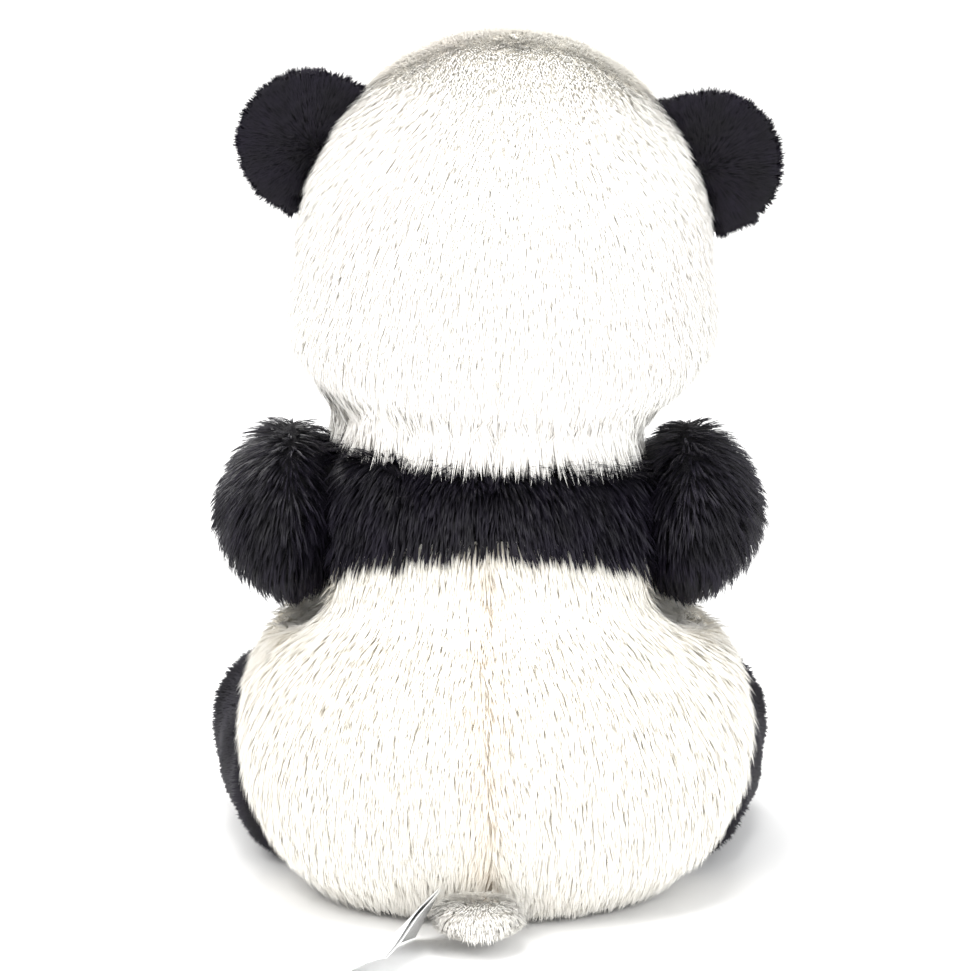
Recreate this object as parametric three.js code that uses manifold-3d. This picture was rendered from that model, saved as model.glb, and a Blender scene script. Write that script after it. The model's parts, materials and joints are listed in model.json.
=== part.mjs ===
// Seated plush panda: sewn plush panels over polyester filling, plastic eyes and nose held by washers,
// and limbs, ears, tail and label that flex at their seams.
// Millimetres, +Z up, facing -Y. The origin is the middle of the flat seat.
import * as THREE from "three";
import { mergeVertices } from "three/addons/utils/BufferGeometryUtils.js";
import Module from "manifold-3d";

const wasm = await Module();
wasm.setup();

// ---- Driving dimensions ----
const GAP = 0.4; // air between neighbouring pieces
const PLUSH = 5; // knitted backing with its pile pressed down
const SIDES = 18; // facets round a visible skin
const LIMB_SIDES = 14;
const SMALL_SIDES = 14; // round the muzzle, tail, ears, nose and eyes
const CORE_SIDES = 10; // facets round a lining and its filling
const FAR = 400; // longer than the toy, for cutting blocks

const HIP_HALF_WIDTH = 95;
const HIP_HALF_DEPTH = 80;
const HIP_HALF_HEIGHT = 73;
const SEAT_POWER = 2.4; // over 2 makes the lower half of the hips fuller than an ellipse
const SEAT_CUT = 13; // how much of the round bottom the flat seat takes off
const BASE_RISE = 9; // height of the base panel's turned-up edge
const POUCH_HALF_WIDTH = 44;
const POUCH_HALF_DEPTH = 34;
const POUCH_HEIGHT = 17;

const CHEST_RISE = 72; // chest centre above the hip centre
const CHEST_HALF_WIDTH = 66;
const CHEST_RADIUS = 57;
const YOKE_SEAM_RISE = 69; // black-to-white seam above the hip centre, at mid back
const YOKE_SEAM_DROP = 22; // how far that seam falls towards the arms
const YOKE_SEAM_HALF_WIDTH = 80;

const SHOULDER_RADIUS = 38;
const SHOULDER_OUT = 26.5; // from the fullest part of the shoulder to its outer tip
const SHOULDER_IN = 27; // from the fullest part to its inner tip
const SHOULDER_TAPER = 3; // over 1 narrows the inner side, under the head
const ARM_RADIUS = 29;
const PAW_RADIUS = 24;
const ELBOW_REACH = 42; // forward of the shoulder
const PAW_REACH = 92;
const PAW_INWARD = 28;
const PAW_DROP = 27;

const LEG_RADIUS = 28;
const FOOT_HALF_WIDTH = 29;
const FOOT_HALF_HEIGHT = 31.5;
const LEG_REACH = 98; // hip to the flat of the sole
const LEG_SPLAY_DEG = 13;
const LEG_INSET = 41; // hip joint in from the side of the hips
const LEG_SET_BACK = 40; // and back from their front
const LEG_LIFT_DEG = 15;
const FLOOR_FLAT = 0.8; // how much lying on the floor flattens a round limb

const HEAD_RADIUS = 74;
const HEAD_TOP = 79; // crown above the fullest part
const HEAD_BOTTOM = 61; // neck seam below the fullest part
const JOWL_POWER = 3; // over 2 makes the lower cheeks fuller than an ellipse
const NECK_RISE = 54; // nod pivot above the chest centre
const HEAD_RISE = 34; // fullest part of the head above the nod pivot
const HEAD_FORWARD = 6;
const HEAD_SIDEWAYS = 3; // the head sits this far to the toy's right
const HEAD_LEAN_DEG = 3; // the head rests a little to the toy's right
const HEAD_NOD_DEG = 10;
const NECK_BALL_RADIUS = 24;
const NECK_STEM_RADIUS = 18;
const NECK_STEM_LENGTH = 62;

const GUSSET_HALF_WIDTH = 10; // strip from the muzzle over the crown
const MUZZLE_HALF = [28, 26, 21];
const MUZZLE_SINK = 12; // middle of the muzzle, in from the fullest part of the head
const MUZZLE_DROP = 12; // below the fullest part of the head
const MUZZLE_PLUSH = 3.5;
const NOSE_HALF = [9, 5, 6.5];
const NOSE_TILT_DEG = 30;
const MOUTH_THREAD_RADIUS = 0.8;
const EYE_RADIUS = 6.5;
const EYE_HEIGHT = 4.2;
const EYE_SPREAD_DEG = 25; // either side of the middle, round the head
const EYE_RISE = 10;
const PATCH_HALF_WIDTH = 12.5;
const PATCH_HALF_HEIGHT = 18;
const PATCH_TILT_DEG = 32;
const PATCH_THICK = 1.4;
const SHANK_RADIUS = 1.8;
const SHANK_LENGTH = 12;
const WASHER_RADIUS = 7;
const WASHER_THICK = 1.6;

const EAR_REACH = 25; // out from the head
const EAR_HALF_LENGTH = 25; // along the seam on the head
const EAR_HALF_THICK = 8;
const EAR_ANGLE_DEG = 26; // above the fullest part of the head
const EAR_FLEX_CLEARANCE = 3.4;

const TAIL_HALF = [15, 22, 8.6];
const TAIL_SIDE = 4; // the tail is sewn this far to the toy's left of the middle
const TAIL_SINK = 4; // root of the tail inside the seat's outline
const LABEL_WIDTH = 20;
const LABEL_LENGTH = 54;
const LABEL_THICK = 0.8;
const LABEL_SIDE = 21; // from the middle of the back
const LABEL_HEADING_DEG = 24; // outwards from straight back
const LABEL_ROOT_TWIST_DEG = 62;
const LABEL_END_TWIST_DEG = 22;

// ---- Sizes that follow ----
const rad = THREE.MathUtils.degToRad;
const HIP = new THREE.Vector3(0, 0, HIP_HALF_HEIGHT - SEAT_CUT);
const CHEST = new THREE.Vector3(0, 2, HIP.z + CHEST_RISE);
const NECK = new THREE.Vector3(-HEAD_SIDEWAYS, -HEAD_FORWARD, CHEST.z + NECK_RISE);
const SHOULDER = new THREE.Vector3(CHEST_HALF_WIDTH - 1, CHEST.y, CHEST.z);
const HIP_JOINT = new THREE.Vector3(HIP_HALF_WIDTH - LEG_INSET, LEG_SET_BACK - HIP_HALF_DEPTH, LEG_RADIUS - FLOOR_FLAT);
const LEG_ROOT_RADIUS = LEG_RADIUS + 2;

const CREAM = { color: 0xf3ecdd, roughness: 0.95, metalness: 0 };
const BLACK = { color: 0x121116, roughness: 0.85, metalness: 0 };
const VELOUR = { color: 0x2a282c, roughness: 0.9, metalness: 0 };
const FIBRE = { color: 0xe9e9e6, roughness: 1, metalness: 0 };
const PELLETS = { color: 0xc9ccd2, roughness: 0.7, metalness: 0 };
const GLOSS = { color: 0x0a0807, roughness: 0.12, metalness: 0 };
const NYLON = { color: 0xd8d8d4, roughness: 0.5, metalness: 0 };
const THREAD = { color: 0x17120f, roughness: 0.7, metalness: 0 };
const SATIN = { color: 0xf4f4f2, roughness: 0.45, metalness: 0 };

// ---- Solids ----
function solidOf(geometry) {
  const bare = new THREE.BufferGeometry().setAttribute("position", geometry.getAttribute("position"));
  if (geometry.index) bare.setIndex(geometry.index);
  const merged = mergeVertices(bare, 1e-4);
  return new wasm.Manifold(
    new wasm.Mesh({
      numProp: 3,
      vertProperties: merged.getAttribute("position").array,
      triVerts: new Uint32Array(merged.index.array),
    }),
  );
}

// A closed skin through rings, each { at, side, up }: its centre and its two half-axes as vectors.
// The first and last rings have no size, so they are the poles.
function skinThrough(rings, around) {
  const g = new THREE.SphereGeometry(1, around, rings.length - 1);
  const position = g.getAttribute("position");
  const p = new THREE.Vector3();
  rings.forEach(({ at, side, up }, row) => {
    for (let column = 0; column <= around; column += 1) {
      const angle = ((column % around) / around) * 2 * Math.PI;
      p.copy(at).addScaledVector(side, Math.cos(angle)).addScaledVector(up, Math.sin(angle));
      position.setXYZ(row * (around + 1) + column, p.x, p.y, p.z);
    }
  });
  return solidOf(g);
}

function ellipsoid(centre, half, sides = SMALL_SIDES, rows = Math.ceil(sides / 2)) {
  const g = new THREE.SphereGeometry(1, sides, rows);
  g.rotateX(Math.PI / 2);
  g.scale(...half);
  g.translate(centre.x, centre.y, centre.z);
  return solidOf(g);
}

const ball = (centre, radius, sides) => ellipsoid(centre, [radius, radius, radius], sides, sides / 2);

function block([x0, x1], [y0, y1], [z0, z1]) {
  const g = new THREE.BoxGeometry(x1 - x0, y1 - y0, z1 - z0);
  g.translate((x0 + x1) / 2, (y0 + y1) / 2, (z0 + z1) / 2);
  return solidOf(g);
}

// A cylinder along +Z from z0 to z1; flare widens its far end.
function rod(radius, z0, z1, around = 16, flare = radius) {
  const g = new THREE.CylinderGeometry(flare, radius, z1 - z0, around);
  g.rotateX(Math.PI / 2);
  g.translate(0, 0, (z0 + z1) / 2);
  return solidOf(g);
}

const placed = (solid, matrix) => solid.transform(matrix.elements);
const union = (solids) => solids.reduce((a, b) => a.add(b));
const mirror = new THREE.Matrix4().makeScale(-1, 1, 1);
const bothSides = (solid) => solid.add(placed(solid, mirror).asOriginal());

function turnedAbout(solid, pivot, axis, degrees) {
  const m = new THREE.Matrix4().makeTranslation(pivot.x, pivot.y, pivot.z);
  m.multiply(new THREE.Matrix4().makeRotationAxis(axis, rad(degrees)));
  m.multiply(new THREE.Matrix4().makeTranslation(-pivot.x, -pivot.y, -pivot.z));
  return placed(solid, m);
}

const X_AXIS = new THREE.Vector3(1, 0, 0);
const LEFT_HALF = [GAP / 2, FAR];
const RIGHT_HALF = [-FAR, -GAP / 2];
const ALL = [-FAR, FAR];
const FRONT = [-FAR, -GAP / 2];
const BACK = [GAP / 2, FAR];

const toy = new THREE.Group();

function addPiece(parent, name, solid, finish) {
  const m = solid.getMesh();
  const vertices = new Float32Array(m.numVert * 3);
  for (let i = 0; i < m.numVert; i += 1) {
    vertices.set(m.vertProperties.subarray(i * m.numProp, i * m.numProp + 3), i * 3);
  }
  const g = new THREE.BufferGeometry().setAttribute("position", new THREE.BufferAttribute(vertices, 3));
  g.setIndex(new THREE.BufferAttribute(m.triVerts, 1));
  const mesh = new THREE.Mesh(g, new THREE.MeshStandardMaterial(finish));
  mesh.name = name;
  parent.add(mesh);
}

// The largest body of a cut solid, without the slivers that a cut can leave beside it.
function mainBody(solid) {
  const bodies = solid.decompose();
  return bodies.reduce((a, b) => (b.volume() > a.volume() ? b : a));
}

// ---- Head form, in the head's own frame: origin at the nod pivot ----
const levelRing = (r, z) => ({
  at: new THREE.Vector3(0, 0, z),
  side: new THREE.Vector3(r, 0, 0),
  up: new THREE.Vector3(0, r, 0),
});

// The lower head's profile from its bottom up to its fullest part, as [radius, height] pairs.
function jowlProfile(grow, steps) {
  const profile = [];
  for (let i = 0; i <= steps; i += 1) {
    const a = (i / steps) * (Math.PI / 2);
    const r = (HEAD_RADIUS + grow) * Math.sin(a) ** (2 / JOWL_POWER);
    const down = (HEAD_BOTTOM + grow) * Math.max(0, Math.cos(a)) ** (2 / JOWL_POWER);
    profile.push([r, HEAD_RISE - down]);
  }
  return profile;
}

function headForm(grow, sides = SIDES) {
  const above = Math.round(sides / 4);
  const rings = jowlProfile(grow, above).map(([r, z]) => levelRing(r, z));
  for (let i = 1; i <= above; i += 1) {
    const a = (i / above) * (Math.PI / 2);
    const r = i === above ? 0 : (HEAD_RADIUS + grow) * Math.cos(a);
    rings.push(levelRing(r, HEAD_RISE + (HEAD_TOP + grow) * Math.sin(a)));
  }
  return skinThrough(rings.reverse(), sides);
}

// The round dish that the lower head needs to nod and turn in: its profile tipped by the nod, made round.
function headDish(grow) {
  const nod = rad(HEAD_NOD_DEG);
  const tipped = jowlProfile(grow, Math.round(SIDES / 4)).map(([r, z]) => [
    r * Math.cos(nod) + z * Math.sin(nod),
    z * Math.cos(nod) - r * Math.sin(nod),
  ]);
  const rings = tipped.filter(([r]) => r > NECK_STEM_RADIUS).map(([r, z]) => levelRing(r, z));
  const widest = tipped[tipped.length - 1];
  rings.unshift(levelRing(0, rings[0].at.z - GAP));
  rings.push(levelRing(widest[0], widest[1] + HEAD_TOP), levelRing(0, widest[1] + HEAD_TOP));
  return skinThrough(rings.reverse(), SIDES);
}

const headFrame = new THREE.Group();
headFrame.position.copy(NECK);
headFrame.rotation.y = rad(-HEAD_LEAN_DEG);
headFrame.updateMatrix();
const ORIGIN = new THREE.Vector3();

// ---- Neck: the plug of filling that joins head and body ----
const NECK_CLEARANCE = 3 * GAP; // a facetted plug turns in a facetted well
const neckPlug = (grow) =>
  ball(ORIGIN, NECK_BALL_RADIUS + grow, 16).add(rod(NECK_STEM_RADIUS + grow, -NECK_STEM_LENGTH - grow, 0, 16));

// ---- Arms: made for the left side, mirrored for the right, in a frame at the shoulder ----
function shoulderRoot(grow, sides = SIDES) {
  const ring = (x, r) => ({
    at: new THREE.Vector3(x, 0, 0),
    side: new THREE.Vector3(0, r, 0),
    up: new THREE.Vector3(0, 0, r),
  });
  const steps = Math.ceil(sides / 5);
  const rings = [];
  for (let i = 0; i <= 2 * steps; i += 1) {
    const a = (i / steps - 1) * (Math.PI / 2);
    const reach = a < 0 ? SHOULDER_IN + grow : SHOULDER_OUT + grow;
    const round = Math.max(0, Math.cos(a));
    const r = (SHOULDER_RADIUS + grow) * (a < 0 ? round ** SHOULDER_TAPER : round);
    rings.push(ring(reach * Math.sin(a), i % (2 * steps) === 0 ? 0 : r));
  }
  return skinThrough(rings.reverse(), sides);
}

// A soft limb along a curve, with a round start and end. Each station is [point, radius across, radius up].
function limb(stations, grow, sides, endFlat = 1) {
  const curve = new THREE.CatmullRomCurve3(stations.map(([p]) => p));
  const count = stations.length - 1;
  const rings = [];
  const addRing = (t, slide, scale) => {
    const near = Math.min(count - 1, Math.floor(t * count));
    const share = t * count - near;
    const across = THREE.MathUtils.lerp(stations[near][1], stations[near + 1][1], share) + grow;
    const high = THREE.MathUtils.lerp(stations[near][2], stations[near + 1][2], share) + grow;
    const along = curve.getTangent(t);
    const side = new THREE.Vector3(0, 0, 1).cross(along).normalize();
    const up = along.clone().cross(side);
    rings.push({
      at: curve.getPoint(t).addScaledVector(along, slide * across),
      side: side.multiplyScalar(across * scale),
      up: up.multiplyScalar(high * scale),
    });
  };
  for (const a of [90, 60, 30]) addRing(0, -Math.sin(rad(a)), a === 90 ? 0 : Math.cos(rad(a)));
  for (let i = 0; i <= 2 * count; i += 1) addRing(i / (2 * count), 0, 1);
  for (const a of [30, 60, 90]) addRing(1, endFlat * Math.sin(rad(a)), a === 90 ? 0 : Math.cos(rad(a)));
  return skinThrough(rings.reverse(), sides);
}

const ARM_STATIONS = [
  [new THREE.Vector3(0, 0, 0), ARM_RADIUS, ARM_RADIUS],
  [new THREE.Vector3(0, -ELBOW_REACH, -0.3 * PAW_DROP), ARM_RADIUS, ARM_RADIUS],
  [new THREE.Vector3(-PAW_INWARD, -PAW_REACH, -PAW_DROP), PAW_RADIUS, PAW_RADIUS],
];
const armFrame = new THREE.Matrix4().makeTranslation(SHOULDER.x, SHOULDER.y, SHOULDER.z);
const armBack = armFrame.clone().invert();

function chestForm(grow, sides = SIDES) {
  const g = new THREE.SphereGeometry(1, sides, sides / 2);
  g.rotateZ(Math.PI / 2); // its poles lie on the arms' axis
  g.scale(CHEST_HALF_WIDTH + grow, CHEST_RADIUS + grow, CHEST_RADIUS + grow);
  g.translate(CHEST.x, CHEST.y, CHEST.z);
  return solidOf(g);
}

// The hips' outline at a height, as a share of their greatest width and depth.
function hipShare(z, grow = 0) {
  const away = Math.min(1, Math.abs(z - HIP.z) / (HIP_HALF_HEIGHT + grow));
  const power = z < HIP.z ? SEAT_POWER : 2;
  return (1 - away ** power) ** (1 / power);
}

function hipForm(grow, sides = SIDES) {
  const rings = [];
  const steps = 2 * Math.round(sides / 3.5);
  for (let i = 0; i <= steps; i += 1) {
    const z = HIP.z + (HIP_HALF_HEIGHT + grow) * Math.cos((i / steps) * Math.PI);
    const share = i % steps === 0 ? 0 : hipShare(z, grow);
    rings.push({
      at: new THREE.Vector3(HIP.x, HIP.y, z),
      side: new THREE.Vector3((HIP_HALF_WIDTH + grow) * share, 0, 0),
      up: new THREE.Vector3(0, (HIP_HALF_DEPTH + grow) * share, 0),
    });
  }
  return skinThrough(rings, sides);
}

function armForm(grow, sides) {
  const trunk = chestForm(2 * GAP - grow).add(hipForm(2 * GAP - grow));
  const bare = shoulderRoot(grow, sides).add(limb(ARM_STATIONS, grow, sides).subtract(placed(trunk, armBack)));
  return mainBody(bare.subtract(placed(bothSides(placed(headForm(2 * GAP - grow), headFrame.matrix)), armBack)));
}

// ---- Legs: made for the left side, in a frame at the hip joint with -Y along the leg ----
const legFrame = new THREE.Matrix4().makeTranslation(HIP_JOINT.x, HIP_JOINT.y, HIP_JOINT.z);
legFrame.multiply(new THREE.Matrix4().makeRotationZ(rad(LEG_SPLAY_DEG)));
const FOOT_UP = FOOT_HALF_HEIGHT - LEG_RADIUS; // the foot is thicker than the leg, so its middle is higher
const SOLE_SET = 16; // the foot's last full section, behind the sole
const LEG_STATIONS = [
  [new THREE.Vector3(0, 4, 0), LEG_RADIUS, LEG_RADIUS],
  [new THREE.Vector3(0, -0.4 * LEG_REACH, 0), LEG_RADIUS - 1, LEG_RADIUS],
  [new THREE.Vector3(0, SOLE_SET - LEG_REACH, FOOT_UP), FOOT_HALF_WIDTH, FOOT_HALF_HEIGHT],
];
const SOLE_BULGE = SOLE_SET / FOOT_HALF_WIDTH;
const legBack = legFrame.clone().invert();
const underFloor = placed(block(ALL, ALL, [-FAR, 0]), legBack);
const legRoot = (grow, sides) => ball(ORIGIN, LEG_ROOT_RADIUS + grow, sides);
// The lining reaches past the leg's cut end, so the skin is open there.
function legForm(grow, sides, clearance = 2 * GAP) {
  const hips = placed(hipForm(clearance), legBack);
  const hipsLifted = turnedAbout(hips, ORIGIN, X_AXIS, LEG_LIFT_DEG);
  return limb(LEG_STATIONS, grow, sides, SOLE_BULGE).subtract(hips).subtract(hipsLifted).add(legRoot(grow, sides));
}

// ---- Body: hips and chest, scooped where the limbs and head move ----
const floorCut = block(ALL, ALL, [-FAR, 0]);
const scoops = union([
  placed(headDish(3 * GAP), headFrame.matrix),
  bothSides(placed(shoulderRoot(3 * GAP, LIMB_SIDES), armFrame)),
  bothSides(placed(legRoot(5 * GAP, LIMB_SIDES), legFrame)),
  placed(neckPlug(NECK_CLEARANCE), headFrame.matrix),
]);
const bodyOuter = hipForm(0).add(chestForm(0)).subtract(floorCut);
const bodyInner = hipForm(-PLUSH, CORE_SIDES)
  .add(chestForm(-PLUSH, CORE_SIDES))
  .subtract(block(ALL, ALL, [-FAR, PLUSH]));
const bodySkin = bodyOuter.subtract(bodyInner).subtract(scoops);

// Everything above the arched seam between black yoke and cream back.
function aboveYokeSeam(lift) {
  const top = HIP.z + YOKE_SEAM_RISE + lift;
  const outline = new THREE.Shape();
  outline.moveTo(-YOKE_SEAM_HALF_WIDTH, top - YOKE_SEAM_DROP);
  outline.quadraticCurveTo(0, top + YOKE_SEAM_DROP, YOKE_SEAM_HALF_WIDTH, top - YOKE_SEAM_DROP);
  outline.lineTo(FAR, top - YOKE_SEAM_DROP);
  outline.lineTo(FAR, FAR);
  outline.lineTo(-FAR, FAR);
  outline.lineTo(-FAR, top - YOKE_SEAM_DROP);
  const g = new THREE.ExtrudeGeometry(outline, { depth: 2 * FAR, bevelEnabled: false, curveSegments: 10 });
  g.rotateX(Math.PI / 2);
  g.translate(0, FAR, 0);
  return solidOf(g);
}

const yoke = bodySkin.intersect(aboveYokeSeam(GAP / 2));
const lower = bodySkin.subtract(aboveYokeSeam(-GAP / 2)).subtract(block(ALL, ALL, [-FAR, BASE_RISE + GAP]));
const quarters = [
  ["left", LEFT_HALF],
  ["right", RIGHT_HALF],
];
for (const [side, xs] of quarters) {
  addPiece(toy, `yoke_back_${side}`, mainBody(yoke.intersect(block(xs, BACK, ALL))), BLACK);
  addPiece(toy, `chest_${side}`, mainBody(yoke.intersect(block(xs, FRONT, ALL))), BLACK);
  addPiece(toy, `back_panel_${side}`, mainBody(lower.intersect(block(xs, BACK, ALL))), CREAM);
  addPiece(toy, `belly_panel_${side}`, mainBody(lower.intersect(block(xs, FRONT, ALL))), CREAM);
}
addPiece(toy, "seat_base_panel", mainBody(bodySkin.intersect(block(ALL, ALL, [-FAR, BASE_RISE]))), CREAM);

const pouchForm = (grow) =>
  ellipsoid(new THREE.Vector3(0, 0, PLUSH + GAP), [
    POUCH_HALF_WIDTH + grow,
    POUCH_HALF_DEPTH + grow,
    POUCH_HEIGHT + grow,
  ]);
addPiece(toy, "pellet_pouch", pouchForm(0).subtract(block(ALL, ALL, [-FAR, PLUSH + GAP])), PELLETS);
const bodyFilling = hipForm(-PLUSH - GAP, CORE_SIDES)
  .add(chestForm(-PLUSH - GAP, CORE_SIDES))
  .subtract(block(ALL, ALL, [-FAR, PLUSH + GAP]))
  .subtract(scoops)
  .subtract(pouchForm(GAP));
addPiece(toy, "body_filling", mainBody(bodyFilling), FIBRE);

// ---- Tail: hinged at the top of its root ----
const tailMiddle = new THREE.Vector3(TAIL_SIDE, 0, TAIL_HALF[2] + GAP);
const hipBackAt = (z, x = 0) => HIP_HALF_DEPTH * Math.sqrt(hipShare(z) ** 2 - (x / HIP_HALF_WIDTH) ** 2);
tailMiddle.y = hipBackAt(tailMiddle.z) - TAIL_SINK + TAIL_HALF[1];
const TAIL_HINGE = new THREE.Vector3(TAIL_SIDE, hipBackAt(2 * TAIL_HALF[2]), 2 * TAIL_HALF[2]);
const tailRest = ellipsoid(tailMiddle, TAIL_HALF).subtract(hipForm(3 * GAP));
const tailFrame = new THREE.Group();
tailFrame.name = "tail";
tailFrame.position.copy(TAIL_HINGE);
tailFrame.updateMatrix();
const tail = placed(tailRest, tailFrame.matrix.clone().invert());
const tailSeam = tailMiddle.z - TAIL_HINGE.z;
addPiece(tailFrame, "tail_top", mainBody(tail.intersect(block(ALL, ALL, [tailSeam + GAP / 2, FAR]))), CREAM);
addPiece(tailFrame, "tail_under", mainBody(tail.intersect(block(ALL, ALL, [-FAR, tailSeam - GAP / 2]))), CREAM);
toy.add(tailFrame);

// ---- Care label: a satin strip sewn into the seat seam, twisting from on edge at its root to nearly flat ----
const labelFrame = new THREE.Group();
labelFrame.name = "label";
const labelRoot = new THREE.Vector3(LABEL_SIDE, 0, LABEL_WIDTH / 2);
labelRoot.y = hipBackAt(LABEL_WIDTH, LABEL_SIDE - LABEL_WIDTH / 4) + 3 * GAP;
labelFrame.position.copy(labelRoot);
labelFrame.rotation.z = rad(-LABEL_HEADING_DEG);
{
  const g = new THREE.BoxGeometry(LABEL_WIDTH, LABEL_LENGTH, LABEL_THICK, 2, 8, 1);
  g.translate(0, LABEL_LENGTH / 2, 0);
  const position = g.getAttribute("position");
  const p = new THREE.Vector3();
  for (let i = 0; i < position.count; i += 1) {
    p.fromBufferAttribute(position, i);
    const along = p.y / LABEL_LENGTH;
    const twist = rad(THREE.MathUtils.lerp(LABEL_ROOT_TWIST_DEG, LABEL_END_TWIST_DEG, along));
    const halfHigh = (LABEL_WIDTH / 2) * Math.sin(twist) + (LABEL_THICK / 2) * Math.cos(twist);
    p.applyAxisAngle(new THREE.Vector3(0, 1, 0), twist);
    p.z += (halfHigh + GAP - labelRoot.z) * THREE.MathUtils.smoothstep(along, 0, 0.7);
    position.setXYZ(i, p.x, p.y, p.z);
  }
  addPiece(labelFrame, "care_label", solidOf(g), SATIN);
}
toy.add(labelFrame);

// ---- Arms and legs, for both sides ----
const armSkin = armForm(0, LIMB_SIDES).subtract(armForm(-PLUSH, CORE_SIDES));
const armFilling = armForm(-PLUSH - GAP, CORE_SIDES);
const armSeam = [
  ["outer", 1],
  ["inner", -1],
];
// The arm's side seam runs along its middle, turning in with the paw.
function armSide(direction) {
  const reach = PAW_REACH + 2 * PAW_RADIUS;
  const seam = new THREE.Shape();
  seam.moveTo((direction * GAP) / 2, FAR);
  seam.lineTo((direction * GAP) / 2, -0.6 * ELBOW_REACH);
  seam.lineTo((direction * GAP) / 2 - PAW_INWARD, -PAW_REACH);
  seam.lineTo((direction * GAP) / 2 - PAW_INWARD - 0.55 * (reach - PAW_REACH), -reach);
  seam.lineTo(direction * FAR, -reach);
  seam.lineTo(direction * FAR, FAR);
  const g = new THREE.ExtrudeGeometry(seam, { depth: 2 * FAR, bevelEnabled: false });
  g.translate(0, 0, -FAR);
  return solidOf(g);
}

const legSkin = legForm(0, LIMB_SIDES).subtract(legForm(-PLUSH, CORE_SIDES, GAP)).subtract(underFloor);
const legFilling = legForm(-PLUSH - GAP, CORE_SIDES);
const SOLE_AT = SOLE_SET - LEG_REACH - 0.45 * SOLE_SET;

for (const [side, sign] of [
  ["left", 1],
  ["right", -1],
]) {
  const arm = new THREE.Group();
  arm.name = `arm_${side}`;
  arm.position.set(sign * SHOULDER.x, SHOULDER.y, SHOULDER.z);
  arm.scale.x = sign;
  for (const [part, direction] of armSeam) {
    addPiece(arm, `arm_${side}_${part}`, mainBody(armSkin.intersect(armSide(direction))), BLACK);
  }
  addPiece(arm, `arm_${side}_filling`, armFilling, FIBRE);
  toy.add(arm);

  const leg = new THREE.Group();
  leg.name = `leg_${side}`;
  leg.position.set(sign * HIP_JOINT.x, HIP_JOINT.y, HIP_JOINT.z);
  leg.rotation.z = rad(sign * LEG_SPLAY_DEG);
  leg.scale.x = sign;
  const behindSole = [SOLE_AT + GAP / 2, FAR];
  addPiece(leg, `leg_${side}_top`, mainBody(legSkin.intersect(block(ALL, behindSole, [GAP / 2, FAR]))), BLACK);
  addPiece(leg, `leg_${side}_under`, mainBody(legSkin.intersect(block(ALL, behindSole, [-FAR, -GAP / 2]))), BLACK);
  addPiece(leg, `sole_${side}`, mainBody(legSkin.intersect(block(ALL, [-FAR, SOLE_AT - GAP / 2], ALL))), VELOUR);
  addPiece(leg, `leg_${side}_filling`, legFilling, FIBRE);
  toy.add(leg);
}

// ---- Neck and head ----
const neckFrame = new THREE.Group();
neckFrame.name = "neck";
neckFrame.position.copy(NECK);
neckFrame.rotation.copy(headFrame.rotation);
addPiece(neckFrame, "neck_filling", neckPlug(0), FIBRE);
toy.add(neckFrame);

headFrame.name = "head";
const muzzleAt = new THREE.Vector3(0, MUZZLE_SINK - HEAD_RADIUS, HEAD_RISE - MUZZLE_DROP);
const muzzleForm = (grow) => ellipsoid(muzzleAt, MUZZLE_HALF.map((h) => h + grow), 16);
const stemWay = NECK_STEM_RADIUS + NECK_CLEARANCE;
const neckWay = ball(ORIGIN, NECK_BALL_RADIUS + NECK_CLEARANCE, 16).add(
  rod(stemWay + HEAD_BOTTOM * Math.tan(rad(HEAD_NOD_DEG)), -HEAD_BOTTOM, 0, 16, stemWay),
);
const headSkin = headForm(0).subtract(headForm(-PLUSH, CORE_SIDES)).subtract(neckWay);

// A frame on the head's surface, +Z pointing straight out, at an angle round the head and a height.
function faceFrame(roundDeg, rise, tiltDeg = 0) {
  const up = Math.asin(rise / HEAD_TOP);
  const r = HEAD_RADIUS * Math.cos(up);
  const dir = new THREE.Vector3(Math.sin(rad(roundDeg)), -Math.cos(rad(roundDeg)), 0);
  const at = dir.clone().multiplyScalar(r).setZ(HEAD_RISE + rise);
  const out = dir.clone().multiplyScalar(r / HEAD_RADIUS ** 2).setZ(rise / HEAD_TOP ** 2).normalize();
  const across = new THREE.Vector3(0, 0, 1).cross(out).normalize();
  const m = new THREE.Matrix4().makeBasis(across, out.clone().cross(across), out).setPosition(at);
  return m.multiply(new THREE.Matrix4().makeRotationZ(rad(tiltDeg)));
}

const eyeFrames = [
  ["left", faceFrame(EYE_SPREAD_DEG, EYE_RISE, PATCH_TILT_DEG)],
  ["right", faceFrame(-EYE_SPREAD_DEG, EYE_RISE, -PATCH_TILT_DEG)],
];
const shankHole = rod(SHANK_RADIUS + GAP, -FAR / 8, FAR / 8, 8);
const washerPocket = (plush) => rod(WASHER_RADIUS + GAP, -SHANK_LENGTH - 4 * GAP, -plush, 12);
// A washer lies behind its plush, which curves round it with that radius.
function washer(plush, curve) {
  const front = -plush - 2 * GAP - WASHER_RADIUS ** 2 / (2 * (curve - plush));
  return rod(WASHER_RADIUS, front - WASHER_THICK, front, 12).subtract(shankHole);
}
const eyeHoles = union(eyeFrames.map(([, m]) => placed(shankHole, m)));
const eyePockets = union(eyeFrames.map(([, m]) => placed(washerPocket(PLUSH), m)));

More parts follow.
